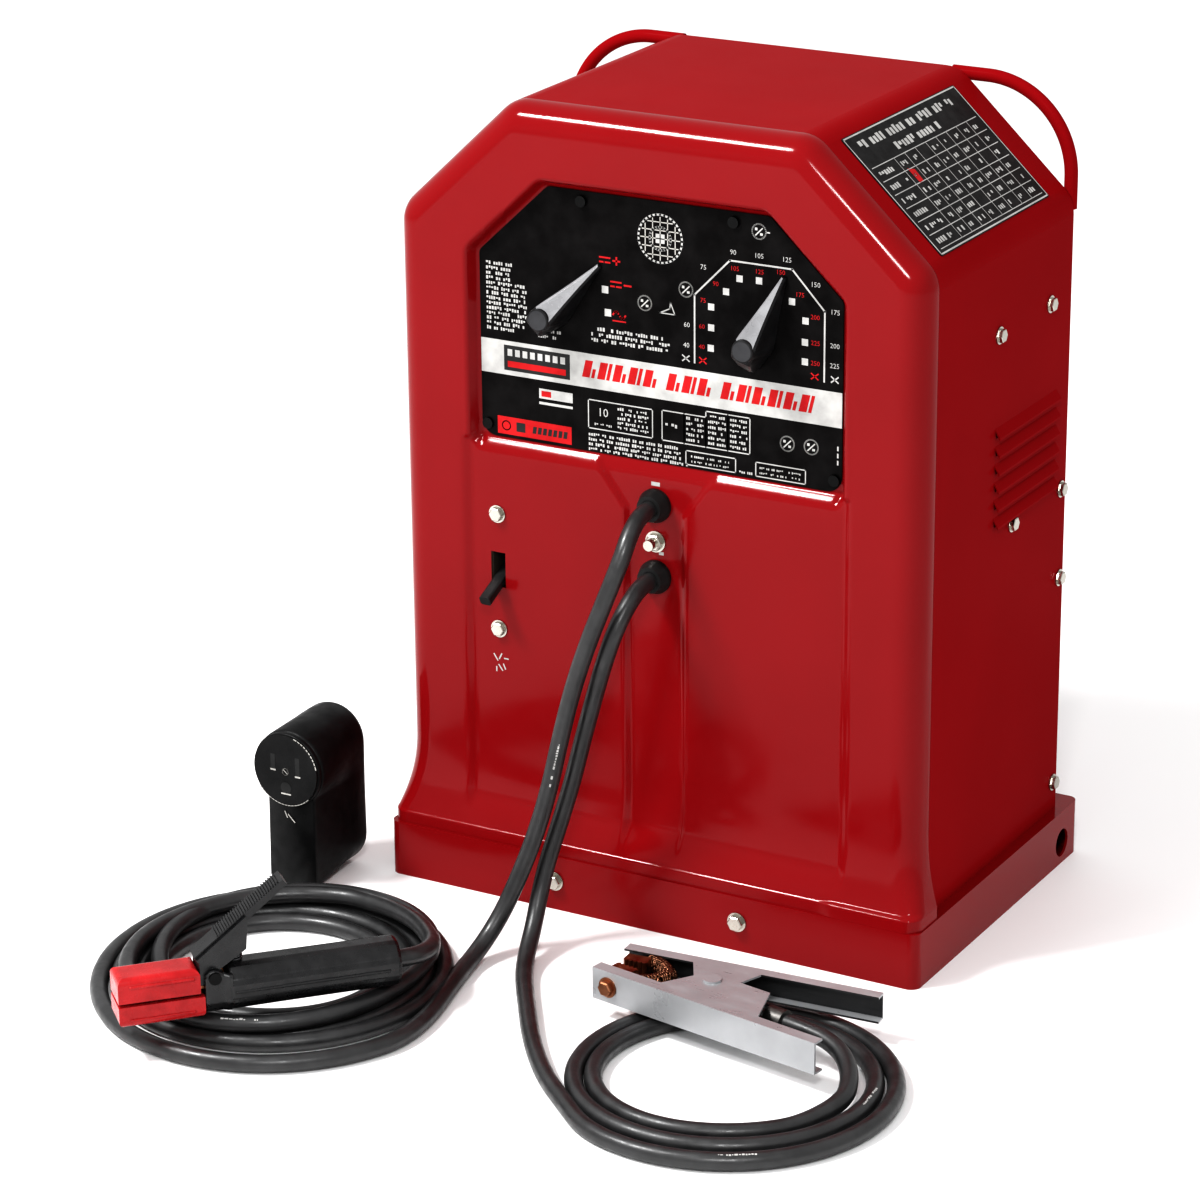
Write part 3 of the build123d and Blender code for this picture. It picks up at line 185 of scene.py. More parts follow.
# the front is glossier than the cover and carries the bright edge lines; its red is also a little
# darker than the cover's, painted shade that offsets the stronger light on the front
front_paint = paint("front_paint", (0.188, 0.0046, 0.007), (0.176, 0.004, 0.006), 0.11, 0.16)


def refinish(node, material):
    """Give every slot of a frame node one material."""
    for entry in nodes[node].material_slots:
        entry.material = material


slots = {sub["node"]: sub["material_slot"] for sub in frame["record"]["subparts"]}
for name, obj in nodes.items():
    if not obj.material_slots:
        obj.data.materials.append(mats[slots[name]])
    refinish(name, mats[slots[name]])
refinish("base_pan", front_paint)


def add_piece(name, data, body):
    obj = bpy.data.objects.new(name, data)
    scene.collection.objects.link(obj)
    if body:
        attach(obj, body)
    return obj


# ---------------------------------------------------------------- welding leads
LEAD_R = 6.5


def lead_curve(name, points):
    """Round rubber lead along one smooth spline through points in millimetres."""
    data = bpy.data.curves.new(name, "CURVE")
    data.dimensions = "3D"
    data.resolution_u = 10
    data.bevel_depth = MM * LEAD_R
    data.bevel_resolution = 6
    data.use_fill_caps = True
    spline = data.splines.new("NURBS")
    spline.points.add(len(points) - 1)
    for point, place in zip(spline.points, points):
        point.co = (*[MM * value for value in place], 1)
    spline.order_u = 3
    spline.use_endpoint_u = True
    data.materials.append(mats["lead_rubber"])
    return add_piece(name, data, "cabinet")


def clamp01(value):
    """The value held between 0 and 1."""
    return min(1.0, max(0.0, value))


def between(keys, n):
    """Smooth value at n through a list of (n, value) pairs."""
    for k in range(len(keys) - 1):
        (n0, v0), (n1, v1) = keys[k], keys[k + 1]
        if n <= n1 or k == len(keys) - 2:
            before = keys[max(k - 1, 0)]
            after = keys[min(k + 2, len(keys) - 1)]
            slope0 = (v1 - before[1]) / (n1 - before[0])
            slope1 = (after[1] - v0) / (after[0] - n0)
            t, span = clamp01((n - n0) / (n1 - n0)), n1 - n0
            return ((2 * t ** 3 - 3 * t ** 2 + 1) * v0 + (t ** 3 - 2 * t ** 2 + t) * span * slope0
                    + (3 * t ** 2 - 2 * t ** 3) * v1 + (t ** 3 - t ** 2) * span * slope1)


# a spline of order 3 runs inside its control points, which therefore lie on a wider circle
TURN_POINTS = 16
WIDEN = 1 / math.cos(math.pi / TURN_POINTS) ** 2


def coil_turns(centre, start, way, steps, radius_keys, height_keys):
    """Control points of a coil from start degrees; way is 1 anticlockwise from above, -1 clockwise."""
    turns = []
    for step in range(1, steps + 1):
        n = step / TURN_POINTS
        angle = math.radians(start + way * 360 * n)
        reach = WIDEN * between(radius_keys, n)
        turns.append((centre[0] + reach * math.cos(angle), centre[1] + reach * math.sin(angle),
                      between(height_keys, n)))
    return turns


# The electrode lead: four and a half turns on the floor and one lying on them.
# Radii and heights in millimetres, by the number of turns so far.
ELECTRODE_RADIUS = [
    (0, 134), (0.25, 139), (0.5, 123.5), (0.75, 136.5), (1, 120), (1.25, 107.5), (1.5, 110),
    (1.75, 123), (2, 106.5), (2.25, 94), (2.5, 96.5), (2.75, 109.5), (3, 93.5), (3.25, 80.5),
    (3.5, 83.5), (3.75, 91),
    (4, 80), (4.25, 67), (4.4, 70), (4.52, 82), (4.64, 101), (4.75, 115), (4.87, 120), (4.97, 114),
    (5.06, 101), (5.15, 98), (5.3, 103), (5.5, 104), (5.7, 105), (5.8, 114),
]
ELECTRODE_HEIGHT = [
    (0, 6.5), (4.36, 6.5), (4.44, 9), (4.54, 15), (4.66, 18.6), (5, 20), (5.3, 18.6), (5.8, 20),
]
electrode_turns = coil_turns((-190, -352), 32, -1, 92, ELECTRODE_RADIUS, ELECTRODE_HEIGHT)
ELECTRODE_ROUTE = [
    (0, -127, 327), (0, -146.5, 327), (1, -164.5, 318.5), (1, -178, 302), (-7, -188, 273),
    (-19, -193, 239), (-30, -196, 203), (-38, -200, 166), (-45, -204, 128), (-54, -209, 92),
    (-64, -216, 60), (-72, -225, 35), (-77.5, -239, 17.5), (-79, -259, 8), (-76, -280.5, 6.5),
]
ELECTRODE_TAIL = [
    (-207, -236, 20), (-178, -239, 21), (-150, -249, 24.5), (-123, -266, 29), (-99, -289, 34),
    (-80.5, -311, 38.5), (-75, -333, 42), (-80.63, -353.05, 45), (-95.98, -369.51, 45),
]
electrode_lead = lead_curve("electrode_lead_cord",
                            ELECTRODE_ROUTE + electrode_turns[1:] + ELECTRODE_TAIL)
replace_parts(electrode_lead, "electrode_lead", "electrode_lead_coil", "electrode_lead_tail")

# The work lead: just over two loose turns, fanned out at the front.
WORK_RADIUS = [
    (0, 115.5), (0.2, 113.5), (0.45, 113), (0.7, 112), (0.94, 104), (1.2, 93), (1.45, 99),
    (1.7, 98), (1.94, 91), (2.2, 73), (2.36, 80),
]
work_turns = coil_turns((175, -345), 222.5, 1, 37, WORK_RADIUS, [(0, LEAD_R), (3, LEAD_R)])
WORK_ROUTE = [
    (0, -127, 272.6), (0, -146.5, 272.6), (-1, -164.5, 264), (-5, -177, 247), (-12, -183, 220),
    (-22, -181.5, 188), (-31, -182, 155), (-38, -184.5, 124), (-46, -190, 92), (-52, -198, 64),
    (-53, -208, 41), (-50, -222, 23), (-45, -240, 11.5), (-36, -260, 7), (-22, -283, 6.5),
    (-4, -310, 6.5), (17, -342, 6.5), (41, -374, 6.5), (66, -402, 6.5), (90, -423, 6.5),
]
WORK_TAIL = [
    (262, -343, 11), (257, -322, 16), (245, -303.5, 21), (228, -291.5, 25),
    (206.8, -285.4, 26.5), (187.05, -282.0, 26.5),
]
work_lead = lead_curve("work_lead_cord", WORK_ROUTE + work_turns + WORK_TAIL)
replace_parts(work_lead, "work_lead", "work_lead_coil", "work_lead_tail")

# ---------------------------------------------------------------- drawing helpers
def build(name, verts, faces, body, slot, materials=(), indices=(), smooth=True):
    """One mesh piece from points in millimetres."""
    data = bpy.data.meshes.new(name)
    data.from_pydata([tuple(MM * value for value in place) for place in verts], [], faces)
    for mat in materials or (mats[slot],):
        data.materials.append(mat)
    for poly, index in zip(data.polygons, indices):
        poly.material_index = index
    if smooth:
        data.shade_smooth()
    return add_piece(name, data, body)


def soften(obj, width, segments=2, angle=35):
    """Round the sharp edges of a piece by width in millimetres."""
    mod = obj.modifiers.new("soft_edges", "BEVEL")
    mod.width = MM * width
    mod.segments = segments
    mod.limit_method = "ANGLE"
    mod.angle_limit = math.radians(angle)
    mod.harden_normals = True
    return obj


def loft(sections, close=True, caps=True):
    """Faces joining equal rings of points; returns (points, faces)."""
    count = len(sections[0])
    points = [point for ring in sections for point in ring]
    faces = []
    last = count if close else count - 1
    for row in range(len(sections) - 1):
        for k in range(last):
            a, b = row * count + k, row * count + (k + 1) % count
            faces.append((a, b, b + count, a + count))
    if caps:
        faces.append(tuple(reversed(range(count))))
        faces.append(tuple(range(len(points) - count, len(points))))
    return points, faces


def step01(value, width):
    """0 at or below zero, 1 at width and beyond, smooth between."""
    t = clamp01(value / width)
    return t * t * (3 - 2 * t)


def rounded_depth(x, z, corners, radius):
    """How far inside a convex shape with rounded corners a point lies.

    The corners run anticlockwise. The shape is its inner offset by radius, grown back by radius.
    """
    sides = []
    for (x0, z0), (x1, z1) in zip(corners, corners[1:] + corners[:1]):
        size = math.hypot(x1 - x0, z1 - z0)
        sides.append((-(z1 - z0) / size, (x1 - x0) / size, x0, z0))
    away = [(x - x0) * nx + (z - z0) * nz - radius for nx, nz, x0, z0 in sides]
    low = min(away)
    if low >= 0:
        return radius + low
    verts = []
    for k in range(len(sides)):
        nx0, nz0, px0, pz0 = sides[k - 1]
        nx1, nz1, px1, pz1 = sides[k]
        c0 = nx0 * px0 + nz0 * pz0 + radius
        c1 = nx1 * px1 + nz1 * pz1 + radius
        det = nx0 * nz1 - nz0 * nx1
        verts.append(((c0 * nz1 - nz0 * c1) / det, (nx0 * c1 - c0 * nx1) / det))
    nearest = math.inf
    for (x0, z0), (x1, z1) in zip(verts, verts[1:] + verts[:1]):
        dx, dz = x1 - x0, z1 - z0
        t = clamp01(((x - x0) * dx + (z - z0) * dz) / (dx * dx + dz * dz))
        nearest = min(nearest, math.hypot(x - x0 - t * dx, z - z0 - t * dz))
    return radius - nearest


# ---------------------------------------------------------------- drawn front shell
HALF_WIDTH, TOP_Z, BOTTOM_Z = 213, 610, 43
SIDES_END = 480          # the sides are upright below this height
FACE_Y, FLANGE_Y = -131, -109.4
CASE = [(-HALF_WIDTH, -200), (HALF_WIDTH, -200), (HALF_WIDTH, 522), (119, TOP_Z), (-119, TOP_Z),
        (-HALF_WIDTH, 522)]
PLATE = [(-153.4, 347), (153.4, 347), (153.4, 500), (92, 558), (-92, 558), (-153.4, 500)]
CASE_CORNER, PLATE_CORNER, EDGE_R = 26, 13, 20.0
SKIRT_TOP, SKIRT_HEIGHT, SKIRT_WIDE, SKIRT_DEEP = 112, 59, 8, 10.2
FOOT_Z = 52
PANEL_HALF, PANEL_DEPTH, PANEL_TOP = 160, 3, 362
CHANNEL_HALF, CHANNEL_DEPTH = 27, 6
RECESS_DEPTH, LIP_HALF = 11, 150
SWITCH_SLOT = (-131, 256.5, 5.9, 13.4)
# x, z and radius of the cable, stud and selector holes
HOLES = [(0, 327, 10), (0, 272.6, 10), (0, 299.4, 4), (-82, 460, 6.5), (82, 460, 6.5)]


def skirt(z):
    """Share of the skirt's flare at one height."""
    return clamp01((SKIRT_TOP - z) / SKIRT_HEIGHT) ** 2.2


def reach_inside(depth_at, low, high, steps):
    """Largest value whose depth_at isn't negative, by halving."""
    for _ in range(steps):
        mid = (low + high) / 2
        if depth_at(mid) >= 0:
            low = mid
        else:
            high = mid
    return low


def case_half(z):
    """Half-width of the shell at one height."""
    if z < SIDES_END:
        return HALF_WIDTH + SKIRT_WIDE * skirt(z)
    return reach_inside(lambda x: rounded_depth(x, z, CASE, CASE_CORNER), 0.0, float(HALF_WIDTH), 22)


def case_y(x, z, half):
    """Depth of the painted front surface."""
    flare = skirt(z)
    radius = EDGE_R - 8 * flare
    depth = half - abs(x) if z < SIDES_END else rounded_depth(x, z, CASE, CASE_CORNER)
    depth = max(0.0, depth)
    y = FACE_Y - SKIRT_DEEP * flare
    ledge = 1.5 + 1.6 * step01(x - 140, 14)
    y -= ledge * clamp01(1 + (FOOT_Z - z) / ledge)
    if depth < radius:
        y += radius - math.sqrt(max(0.0, radius ** 2 - (radius - depth) ** 2))
    if abs(x) >= PANEL_HALF + 8:
        return y
    low_end = step01(z - 56, 22)
    panel = PANEL_DEPTH * step01(PANEL_HALF - abs(x), 9) * low_end
    if z < PANEL_TOP:
        # the channel widens upwards to the width of the grommets' field
        reach = CHANNEL_HALF + 23 * clamp01((z - 322) / 30)
        panel = max(panel, CHANNEL_DEPTH * step01(reach + 1 - abs(x), 7) * low_end)
    recess = RECESS_DEPTH * step01(rounded_depth(x, z, PLATE, PLATE_CORNER), 5.5)
    if z >= 358 or abs(x) >= PANEL_HALF:
        return y + recess
    # the sloped lip under the plate joins the panels to the recess
    rise = clamp01((z - 348) / 10)
    lip = panel + (RECESS_DEPTH - panel) * (0.62 * rise + 0.38 * rise * rise)
    side = step01(LIP_HALF - abs(x), 8)
    return y + side * lip + (1 - side) * max(panel, recess)


# a fine grid, closer at the foot, at the rolled edges and through the holes' middles
edge_steps = [20 * math.sin(math.radians(10 * k)) for k in range(10)]
half_columns = sorted({2.2 * k for k in range(88)} | {125, 137} | {193 + c for c in edge_steps})
half_columns = [c for k, c in enumerate(half_columns) if k == 0 or c - half_columns[k - 1] > 0.35
                or c in (125, 137, HALF_WIDTH)]
columns = [-c for c in reversed(half_columns[1:])] + half_columns
rows = [BOTTOM_Z, 45, 47.5, 50, 51.6, FOOT_Z, 52.75, 53.5, 54.3, 55.1, 56.5]
rows += [59 + 2.3 * k for k in range(231)]
rows = [z for z in rows if z < 590 and min(abs(z - 243), abs(z - 270)) > 0.6] + [243, 270]
rows = sorted(rows + [590 + c for c in edge_steps])
points, faces = [], []
for index, z in enumerate(rows + [TOP_Z]):
    half = case_half(min(z, TOP_Z - 0.001))
    line = []
    for column in columns:
        x = column * half / HALF_WIDTH
        line.append((x, FLANGE_Y if index == len(rows) else case_y(x, z, half), z))
    points += [(line[0][0], FLANGE_Y, z)] + line + [(line[-1][0], FLANGE_Y, z)]
wide = len(columns) + 2
slot_x, slot_z, slot_half, slot_high = SWITCH_SLOT
for row in range(len(rows)):
    for k in range(wide - 1):
        a = row * wide + k
        corners = (a, a + 1, a + wide + 1, a + wide)
        x = sum(points[c][0] for c in corners) / 4
        z = sum(points[c][2] for c in corners) / 4
        if any(math.hypot(x - hx, z - hz) < r for hx, hz, r in HOLES):
            continue
        if abs(x - slot_x) < slot_half and abs(z - slot_z) < slot_high:
            continue
        faces.append(corners)
front_shell = build("front_shell", points, faces, "cabinet", "cabinet_paint", (front_paint,))
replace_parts(front_shell, "front_case")

# ---------------------------------------------------------------- printed marks
INKS = [
    moulded("ink_white", (0.315, 0.311, 0.302), 0.5, 0.02, 900, 0.1),
    moulded("ink_red", (0.30, 0.010, 0.012), 0.5, 0.02, 900, 0.1),
    moulded("ink_black", (0.012, 0.012, 0.012), 0.45, 0.02),
    moulded("ink_grey", (0.32, 0.31, 0.29), 0.5, 0.02),
]
WHITE, INK_RED, BLACK, GREY = range(4)
# heights of marks above the surface in millimetres, so that they can lie on one another
LIFT, LIFT_OVER, LIFT_TOP = 0.12, 0.18, 0.22


class Print:
    """Flat printed marks on one surface, gathered into a single mesh."""

    def __init__(self, place):
        self.place, self.lift, self.seed = place, LIFT, 7
        self.verts, self.faces, self.inks = [], [], []

    def random(self):
        """The next of a fixed row of numbers from 0 to 1."""
        self.seed = (self.seed * 16807) % 2147483647
        return self.seed / 2147483647

    def shape(self, outline, ink):
        """A filled outline."""
        start = len(self.verts)
        self.verts += [self.place(u, v, self.lift) for u, v in outline]
        self.faces.append(tuple(range(start, len(self.verts))))
        self.inks.append(ink)

    def bar(self, u0, v0, u1, v1, ink, slant=0.0):
        lean = slant * (v1 - v0)
        self.shape([(u0, v0), (u1, v0), (u1 + lean, v1), (u0 + lean, v1)], ink)

    def line(self, path, width, ink):
        """A stroke along a path, one square-ended piece to a stretch."""
        for (u0, v0), (u1, v1) in zip(path, path[1:]):
            size = math.hypot(u1 - u0, v1 - v0)
            du, dv = (u1 - u0) / size * width / 2, (v1 - v0) / size * width / 2
            self.shape([(u0 - du - dv, v0 - dv + du), (u0 - du + dv, v0 - dv - du),
                        (u1 + du + dv, v1 + dv - du), (u1 + du - dv, v1 + dv + du)], ink)

    def frame(self, u0, v0, u1, v1, width, ink):
        self.line([(u0, v0), (u1, v0), (u1, v1), (u0, v1), (u0, v0)], width, ink)

    def ring(self, u, v, radius, width, ink, sides=24):
        turns = [2 * math.pi * k / sides for k in range(sides + 1)]
        self.line([(u + radius * math.cos(t), v + radius * math.sin(t)) for t in turns], width, ink)

    def small_print(self, u0, u1, v, height, ink, density=0.8):
        """A row of unreadable dashes with gaps, like very small type."""
        u = u0
        while u < u1 - height:
            for _ in range(2 + int(5 * self.random())):
                wide = height * (0.42 + 0.25 * self.random())
                if u + wide > u1:
                    break
                if self.random() < density:
                    low = v + (0.35 * height if self.random() < 0.25 else 0)
                    self.bar(u, low, u + wide, v + height * (0.75 + 0.25 * self.random()), ink)
                u += wide + 0.22 * height
            u += 0.7 * height

    def number(self, text, u, v, height, ink):
        """A dial number centred at (u, v)."""
        curve = bpy.data.curves.new("number", "FONT")
        curve.body, curve.size = text, 1.38 * height
        curve.align_x, curve.align_y = "CENTER", "CENTER"
        curve.resolution_u = 2
        text_obj = bpy.data.objects.new("number", curve)
        scene.collection.objects.link(text_obj)
        bpy.context.view_layer.update()
        shape = bpy.data.meshes.new_from_object(text_obj)
        start = len(self.verts)
        self.verts += [self.place(u + vert.co.x, v + vert.co.y, self.lift) for vert in shape.vertices]
        for poly in shape.polygons:
            self.faces.append(tuple(start + k for k in poly.vertices))
            self.inks.append(ink)
        bpy.data.objects.remove(text_obj)
        bpy.data.curves.remove(curve)
        bpy.data.meshes.remove(shape)

    def finish(self, name, body, slot):
        return build(name, self.verts, self.faces, body, slot, INKS, self.inks, smooth=False)


PLATE_Y = -121.2
plate = Print(lambda u, v, lift: (u, PLATE_Y - lift, v))
# title band with a block pattern in place of words
plate.bar(-146.2, 405.8, 146.2, 431.6, WHITE)
plate.lift = LIFT_OVER
plate.bar(-127, 409.4, -72, 428.4, BLACK)
plate.lift = LIFT_TOP
for k in range(8):
    plate.bar(-124 + 6.3 * k, 420.4, -120 + 6.3 * k, 425.6, WHITE)
plate.bar(-124, 412, -75.4, 416.6, INK_RED)
plate.lift = LIFT_OVER
LEAN = 0.24
BLOCK_LOW, BLOCK_MID, BLOCK_HIGH = 413.6, 420.4, 426.4
u = -62.0
for group in (5, 3, 6):
    for k in range(group):
        plate.bar(u, BLOCK_LOW, u + 6.2, BLOCK_HIGH, INK_RED, LEAN)
        plate.bar(u + 7.4, BLOCK_LOW, u + 10.0, BLOCK_HIGH if k % 2 else BLOCK_MID, INK_RED, LEAN)
        u += 12.4
    u += 6.5
plate.lift = LIFT
# current dial
plate.line([(29.8, 437.2), (29.8, 487), (57.8, 515.5), (106.4, 515.5), (132, 488.5), (132, 438)],
           1.3, WHITE)
# a white square's middle and the number beside it; INNER and OUTER are the numbers' middles
DIAL = [
    (42.7, 449.6, "40"), (43, 464.6, "60"), (43, 479.8, "75"), (54.8, 492.5, "90"),
    (65.4, 503.3, "105"), (80.7, 503.8, "125"), (96.5, 508, "150"), (106.5, 492.3, "175"),
    (117.1, 479.8, "200"), (116.8, 464.3, "225"), (116.9, 450.2, "250"),
]
OUTER = [(23.2, 449), (23.6, 464), (36.8, 507.8), (60.3, 521.6), (80.6, 521.6), (102.3, 521.6),
         (124.6, 506.6), (140, 488.8), (140, 464.6), (140, 450.2)]
INNER = [(35.6, 449.5), (35.6, 464.4), (36.6, 483.6), (46.6, 497), (61.6, 510), (81, 510.2),
         (97.5, 512), (112.6, 497.8), (124.6, 483.2), (125, 464.6), (125, 450)]
UNDER_POINTER = 6
for k, (u, v, text) in enumerate(DIAL):
    if k != UNDER_POINTER:
        plate.bar(u - 2.5, v - 2.5, u + 2.5, v + 2.5, WHITE)
    plate.number(text, *INNER[k], 3.5, INK_RED)
for k, place in enumerate(OUTER):
    plate.number(DIAL[k][2], *place, 3.7, WHITE)
for u, v, ink in ((36.4, 439.6, INK_RED), (124.6, 440.6, INK_RED), (22.8, 439.4, WHITE),
                  (140.2, 440.4, WHITE)):
    plate.line([(u - 2.6, v + 2), (u + 2.6, v - 2)], 1.0, ink)
    plate.line([(u - 2.6, v - 2), (u + 2.6, v + 2)], 1.0, ink)
# mode dial: plus, minus and a wave
for u, v in ((-42.4, 481), (-40.2, 464.2)):
    plate.bar(u - 2.7, v - 2.7, u + 2.7, v + 2.7, WHITE)
for u, v, sign in ((-40.5, 503, "plus"), (-31.5, 486, "minus"), (-31, 463.6, "wave")):
    if sign == "wave":
        wave = [(u - 5 + 1.25 * k, v + 2.4 * math.sin(k * math.pi / 4)) for k in range(9)]
        plate.line(wave, 1.3, INK_RED)
        plate.line([(u - 5, v - 4.6), (u + 5, v - 4.6)], 1.1, INK_RED)
    else:
        plate.line([(u - 6, v + 1.6), (u + 2, v + 1.6)], 1.3, INK_RED)
        plate.line([(u - 6, v - 1.8), (u - 3.6, v - 1.8)], 1.3, INK_RED)
        plate.line([(u - 1.4, v - 1.8), (u + 2, v - 1.8)], 1.3, INK_RED)
        plate.line([(u + 5, v), (u + 10, v)], 1.4, INK_RED)
        if sign == "plus":
            plate.line([(u + 7.5, v - 2.5), (u + 7.5, v + 2.5)], 1.4, INK_RED)
# ringed marks
for u, v in ((-10.2, 475.4), (80.5, 539.2), (22.9, 489.8), (103.6, 388.2), (122.4, 388.6)):
    plate.ring(u, v, 5.4, 1.0, WHITE)
    plate.line([(u - 2.6, v - 2.8), (u + 2.6, v + 2.4)], 1.0, WHITE)
    plate.bar(u - 3.2, v + 0.6, u - 1.2, v + 2.6, WHITE)
    plate.bar(u + 0.8, v - 2.8, u + 3, v - 1, WHITE)
plate.line([(2, 470), (14, 470), (10.5, 478.5), (10, 474), (2, 470)], 0.9, WHITE)
plate.line([(85.9, 539.2), (88.6, 539.2)], 1.0, WHITE)
# emblem: rings over a plain grid
EMBLEM = (2.4, 524)
plate.ring(*EMBLEM, 17.5, 1.5, WHITE, 32)
for k in range(5):
    off = 6 * (k - 2)
    span = math.sqrt(15.5 ** 2 - off ** 2)
    plate.line([(EMBLEM[0] - span, EMBLEM[1] + off), (EMBLEM[0] + span, EMBLEM[1] + off)], 0.8, GREY)
    plate.line([(EMBLEM[0] + off, EMBLEM[1] - span), (EMBLEM[0] + off, EMBLEM[1] + span)], 0.8, GREY)
plate.ring(*EMBLEM, 8.4, 1.6, WHITE)
plate.bar(EMBLEM[0] - 3.6, EMBLEM[1] - 3.4, EMBLEM[0] + 3.6, EMBLEM[1] + 3.4, WHITE)
# small print
for k in range(14):
    plate.small_print(-141, -118 + (11 if 4 <= k <= 12 else 0), 487.4 - 3.75 * k, 2.7, WHITE, 0.93)
for k in range(3):
    plate.small_print(-54 + (5 if k == 0 else 0), 10, 449.6 - 4.2 * k, 2.9, WHITE, 0.93)
plate.small_print(-98, -80, 438, 2.4, WHITE)
plate.small_print(-95, -78, 442.4, 2.4, WHITE)
for k in range(4):
    plate.small_print(-57, 20 + 6 * (k == 3), 370 - 3.7 * k, 2.5, WHITE, 0.93)
plate.small_print(64, 78, 360.6, 2.0, WHITE)
for u0, u1 in ((22.7, 62.7), (78.8, 118.1)):
    plate.frame(u0, 360.4, u1, 370.8, 0.9, WHITE)
    plate.small_print(u0 + 3, u1 - 3, 366.2, 1.7, WHITE)
    plate.small_print(u0 + 3, u1 - 3, 362.4, 1.7, WHITE)
plate.frame(-57, 375.8, -4.4, 397.2, 0.9, WHITE)
plate.number("10", -45, 388.5, 6.5, WHITE)
plate.small_print(-52, -37, 378.4, 2.2, WHITE)
for k in range(5):
    plate.small_print(-33, -7, 392.4 - 3.5 * k, 2.3, WHITE)
plate.frame(3.4, 375.7, 21.2, 398, 0.9, WHITE)
plate.small_print(6, 19, 386, 3.2, WHITE)
for k in range(3):
    u0 = 21.2 + 17.6 * k
    plate.frame(u0, 375.7, u0 + 17.6, 398 + (4.5 if k else 0), 0.9, WHITE)
    for level in range(6 if k else 5):
        plate.small_print(u0 + 1.8, u0 + 16.4, 378 + 4 * level, 2.3, WHITE, 0.9)
for k in range(3):
    plate.bar(142.6, 378.4 + 5.2 * k, 143.8, 381.8 + 5.2 * k, WHITE)
# small block mark and red panel
plate.bar(-98, 392, -70, 399.5, WHITE)
plate.bar(-98, 387.5, -70, 389.5, WHITE)
plate.lift = LIFT_OVER
plate.bar(-96, 393.6, -88, 397.9, INK_RED)
plate.lift = LIFT
plate.bar(-133.4, 360.3, -71.2, 373.8, INK_RED)
plate.lift = LIFT_OVER
plate.bar(-117.5, 363.6, -110, 370.6, BLACK)
plate.ring(-126, 367, 3.4, 0.8, BLACK)
for k in range(7):
    plate.bar(-104 + 4.3 * k, 364.2, -101 + 4.3 * k, 369.4, BLACK, 0.15)
plate.finish("nameplate_print", "cabinet", "nameplate")

# shoulder label, with a ruled table of unreadable dashes
SLOPE = Vector((78.5, 0, -73.5)).normalized()
OUT = Vector((-SLOPE.z, 0, SLOPE.x))
LABEL_TOP = Vector((125.5, 0, 604))
LABEL_FACE = 0.62


def on_label(u, v, lift):
    """Point on the shoulder label: u from front to back, v down the slope."""
    return tuple(LABEL_TOP + Vector((0, u, 0)) + SLOPE * -v + OUT * (LABEL_FACE + lift))


label = Print(on_label)
ROWS, COLUMNS, ROW, COLUMN = 6, 8, 12.2, 17.0
GRID_LEFT, GRID_TOP = -50, -31
label.frame(-88.6, -107.6, 90.6, -3.4, 1.2, WHITE)
label.small_print(-76, 80, -15.5, 7.2, WHITE, 1.0)
label.small_print(-36, 40, -27, 6.6, WHITE, 1.0)
for k in range(ROWS + 1):
    label.line([(-84, GRID_TOP - ROW * k), (86, GRID_TOP - ROW * k)], 0.7, WHITE)
for k in range(COLUMNS):
    u = GRID_LEFT + COLUMN * k
    label.line([(u, GRID_TOP), (u, GRID_TOP - ROWS * ROW)], 0.7, WHITE)
for k in range(ROWS):
    v = GRID_TOP - 8.4 - ROW * k
    label.small_print(-81, -54, v, 4.4, WHITE, 0.9)
    for cell in range(COLUMNS):
        u = GRID_LEFT + 3 + COLUMN * cell
        label.small_print(u, u + 11, v, 4.2, WHITE, 0.75)
label.shape([(-45, -42), (-37, -45), (-38, -55), (-44, -56)], INK_RED)
label.finish("rating_label_print", "cabinet", "rating_label")

# strokes under the line switch and by the grommets
case_print = Print(lambda u, v, lift: (u, case_y(u, v, HALF_WIDTH) - lift, v))
for stroke in ([(-136, 189), (-133, 184.5)], [(-129.5, 190), (-131.5, 186)],
               [(-127, 186.8), (-124, 186.8)], [(-132, 181), (-129, 177)],
               [(-134, 179), (-134, 176)], [(-128, 182), (-126.5, 178.5)]):
    case_print.line(stroke, 1.1, WHITE)
case_print.bar(-3.5, 341.5, 3.5, 344.5, WHITE)
case_print.bar(2.5, 289.5, 6.5, 292, WHITE)
case_print.finish("case_print", "cabinet", "cabinet_paint")

# ---------------------------------------------------------------- selector knobs
# painted highlight: a pale grey for the top of each pointer, standing in for its reflection
knob_painted_highlight = moulded("knob_painted_highlight", (0.17, 0.17, 0.175), 0.28, 0.10, 900, 0.6)
knob_disc = moulded("knob_disc", (0.028, 0.028, 0.030), 0.42, 0.1)


KNOB_Y, KNOB_Z = -121.7, 460
# along the pointer, half-width at the foot and at the top, height above the plate
POINTER = ((-20, 6.2, 4.6, 9), (-18.5, 7, 5.8, 12), (-9, 9.6, 7.6, 25), (-5, 10.8, 7.8, 27),
           (0, 11.3, 8, 27.4), (5, 10.8, 7.7, 27), (9, 10, 7.2, 25.6), (20, 7.8, 5.4, 20),
           (35, 4.9, 3.2, 12), (48, 2.7, 1.7, 5.4), (52.5, 2, 1.2, 3))
# radius and height of the hub's rings
HUB = ((11.5, 0), (11.2, 3), (8.7, 26.2), (8.2, 27.6), (7.2, 28.1))


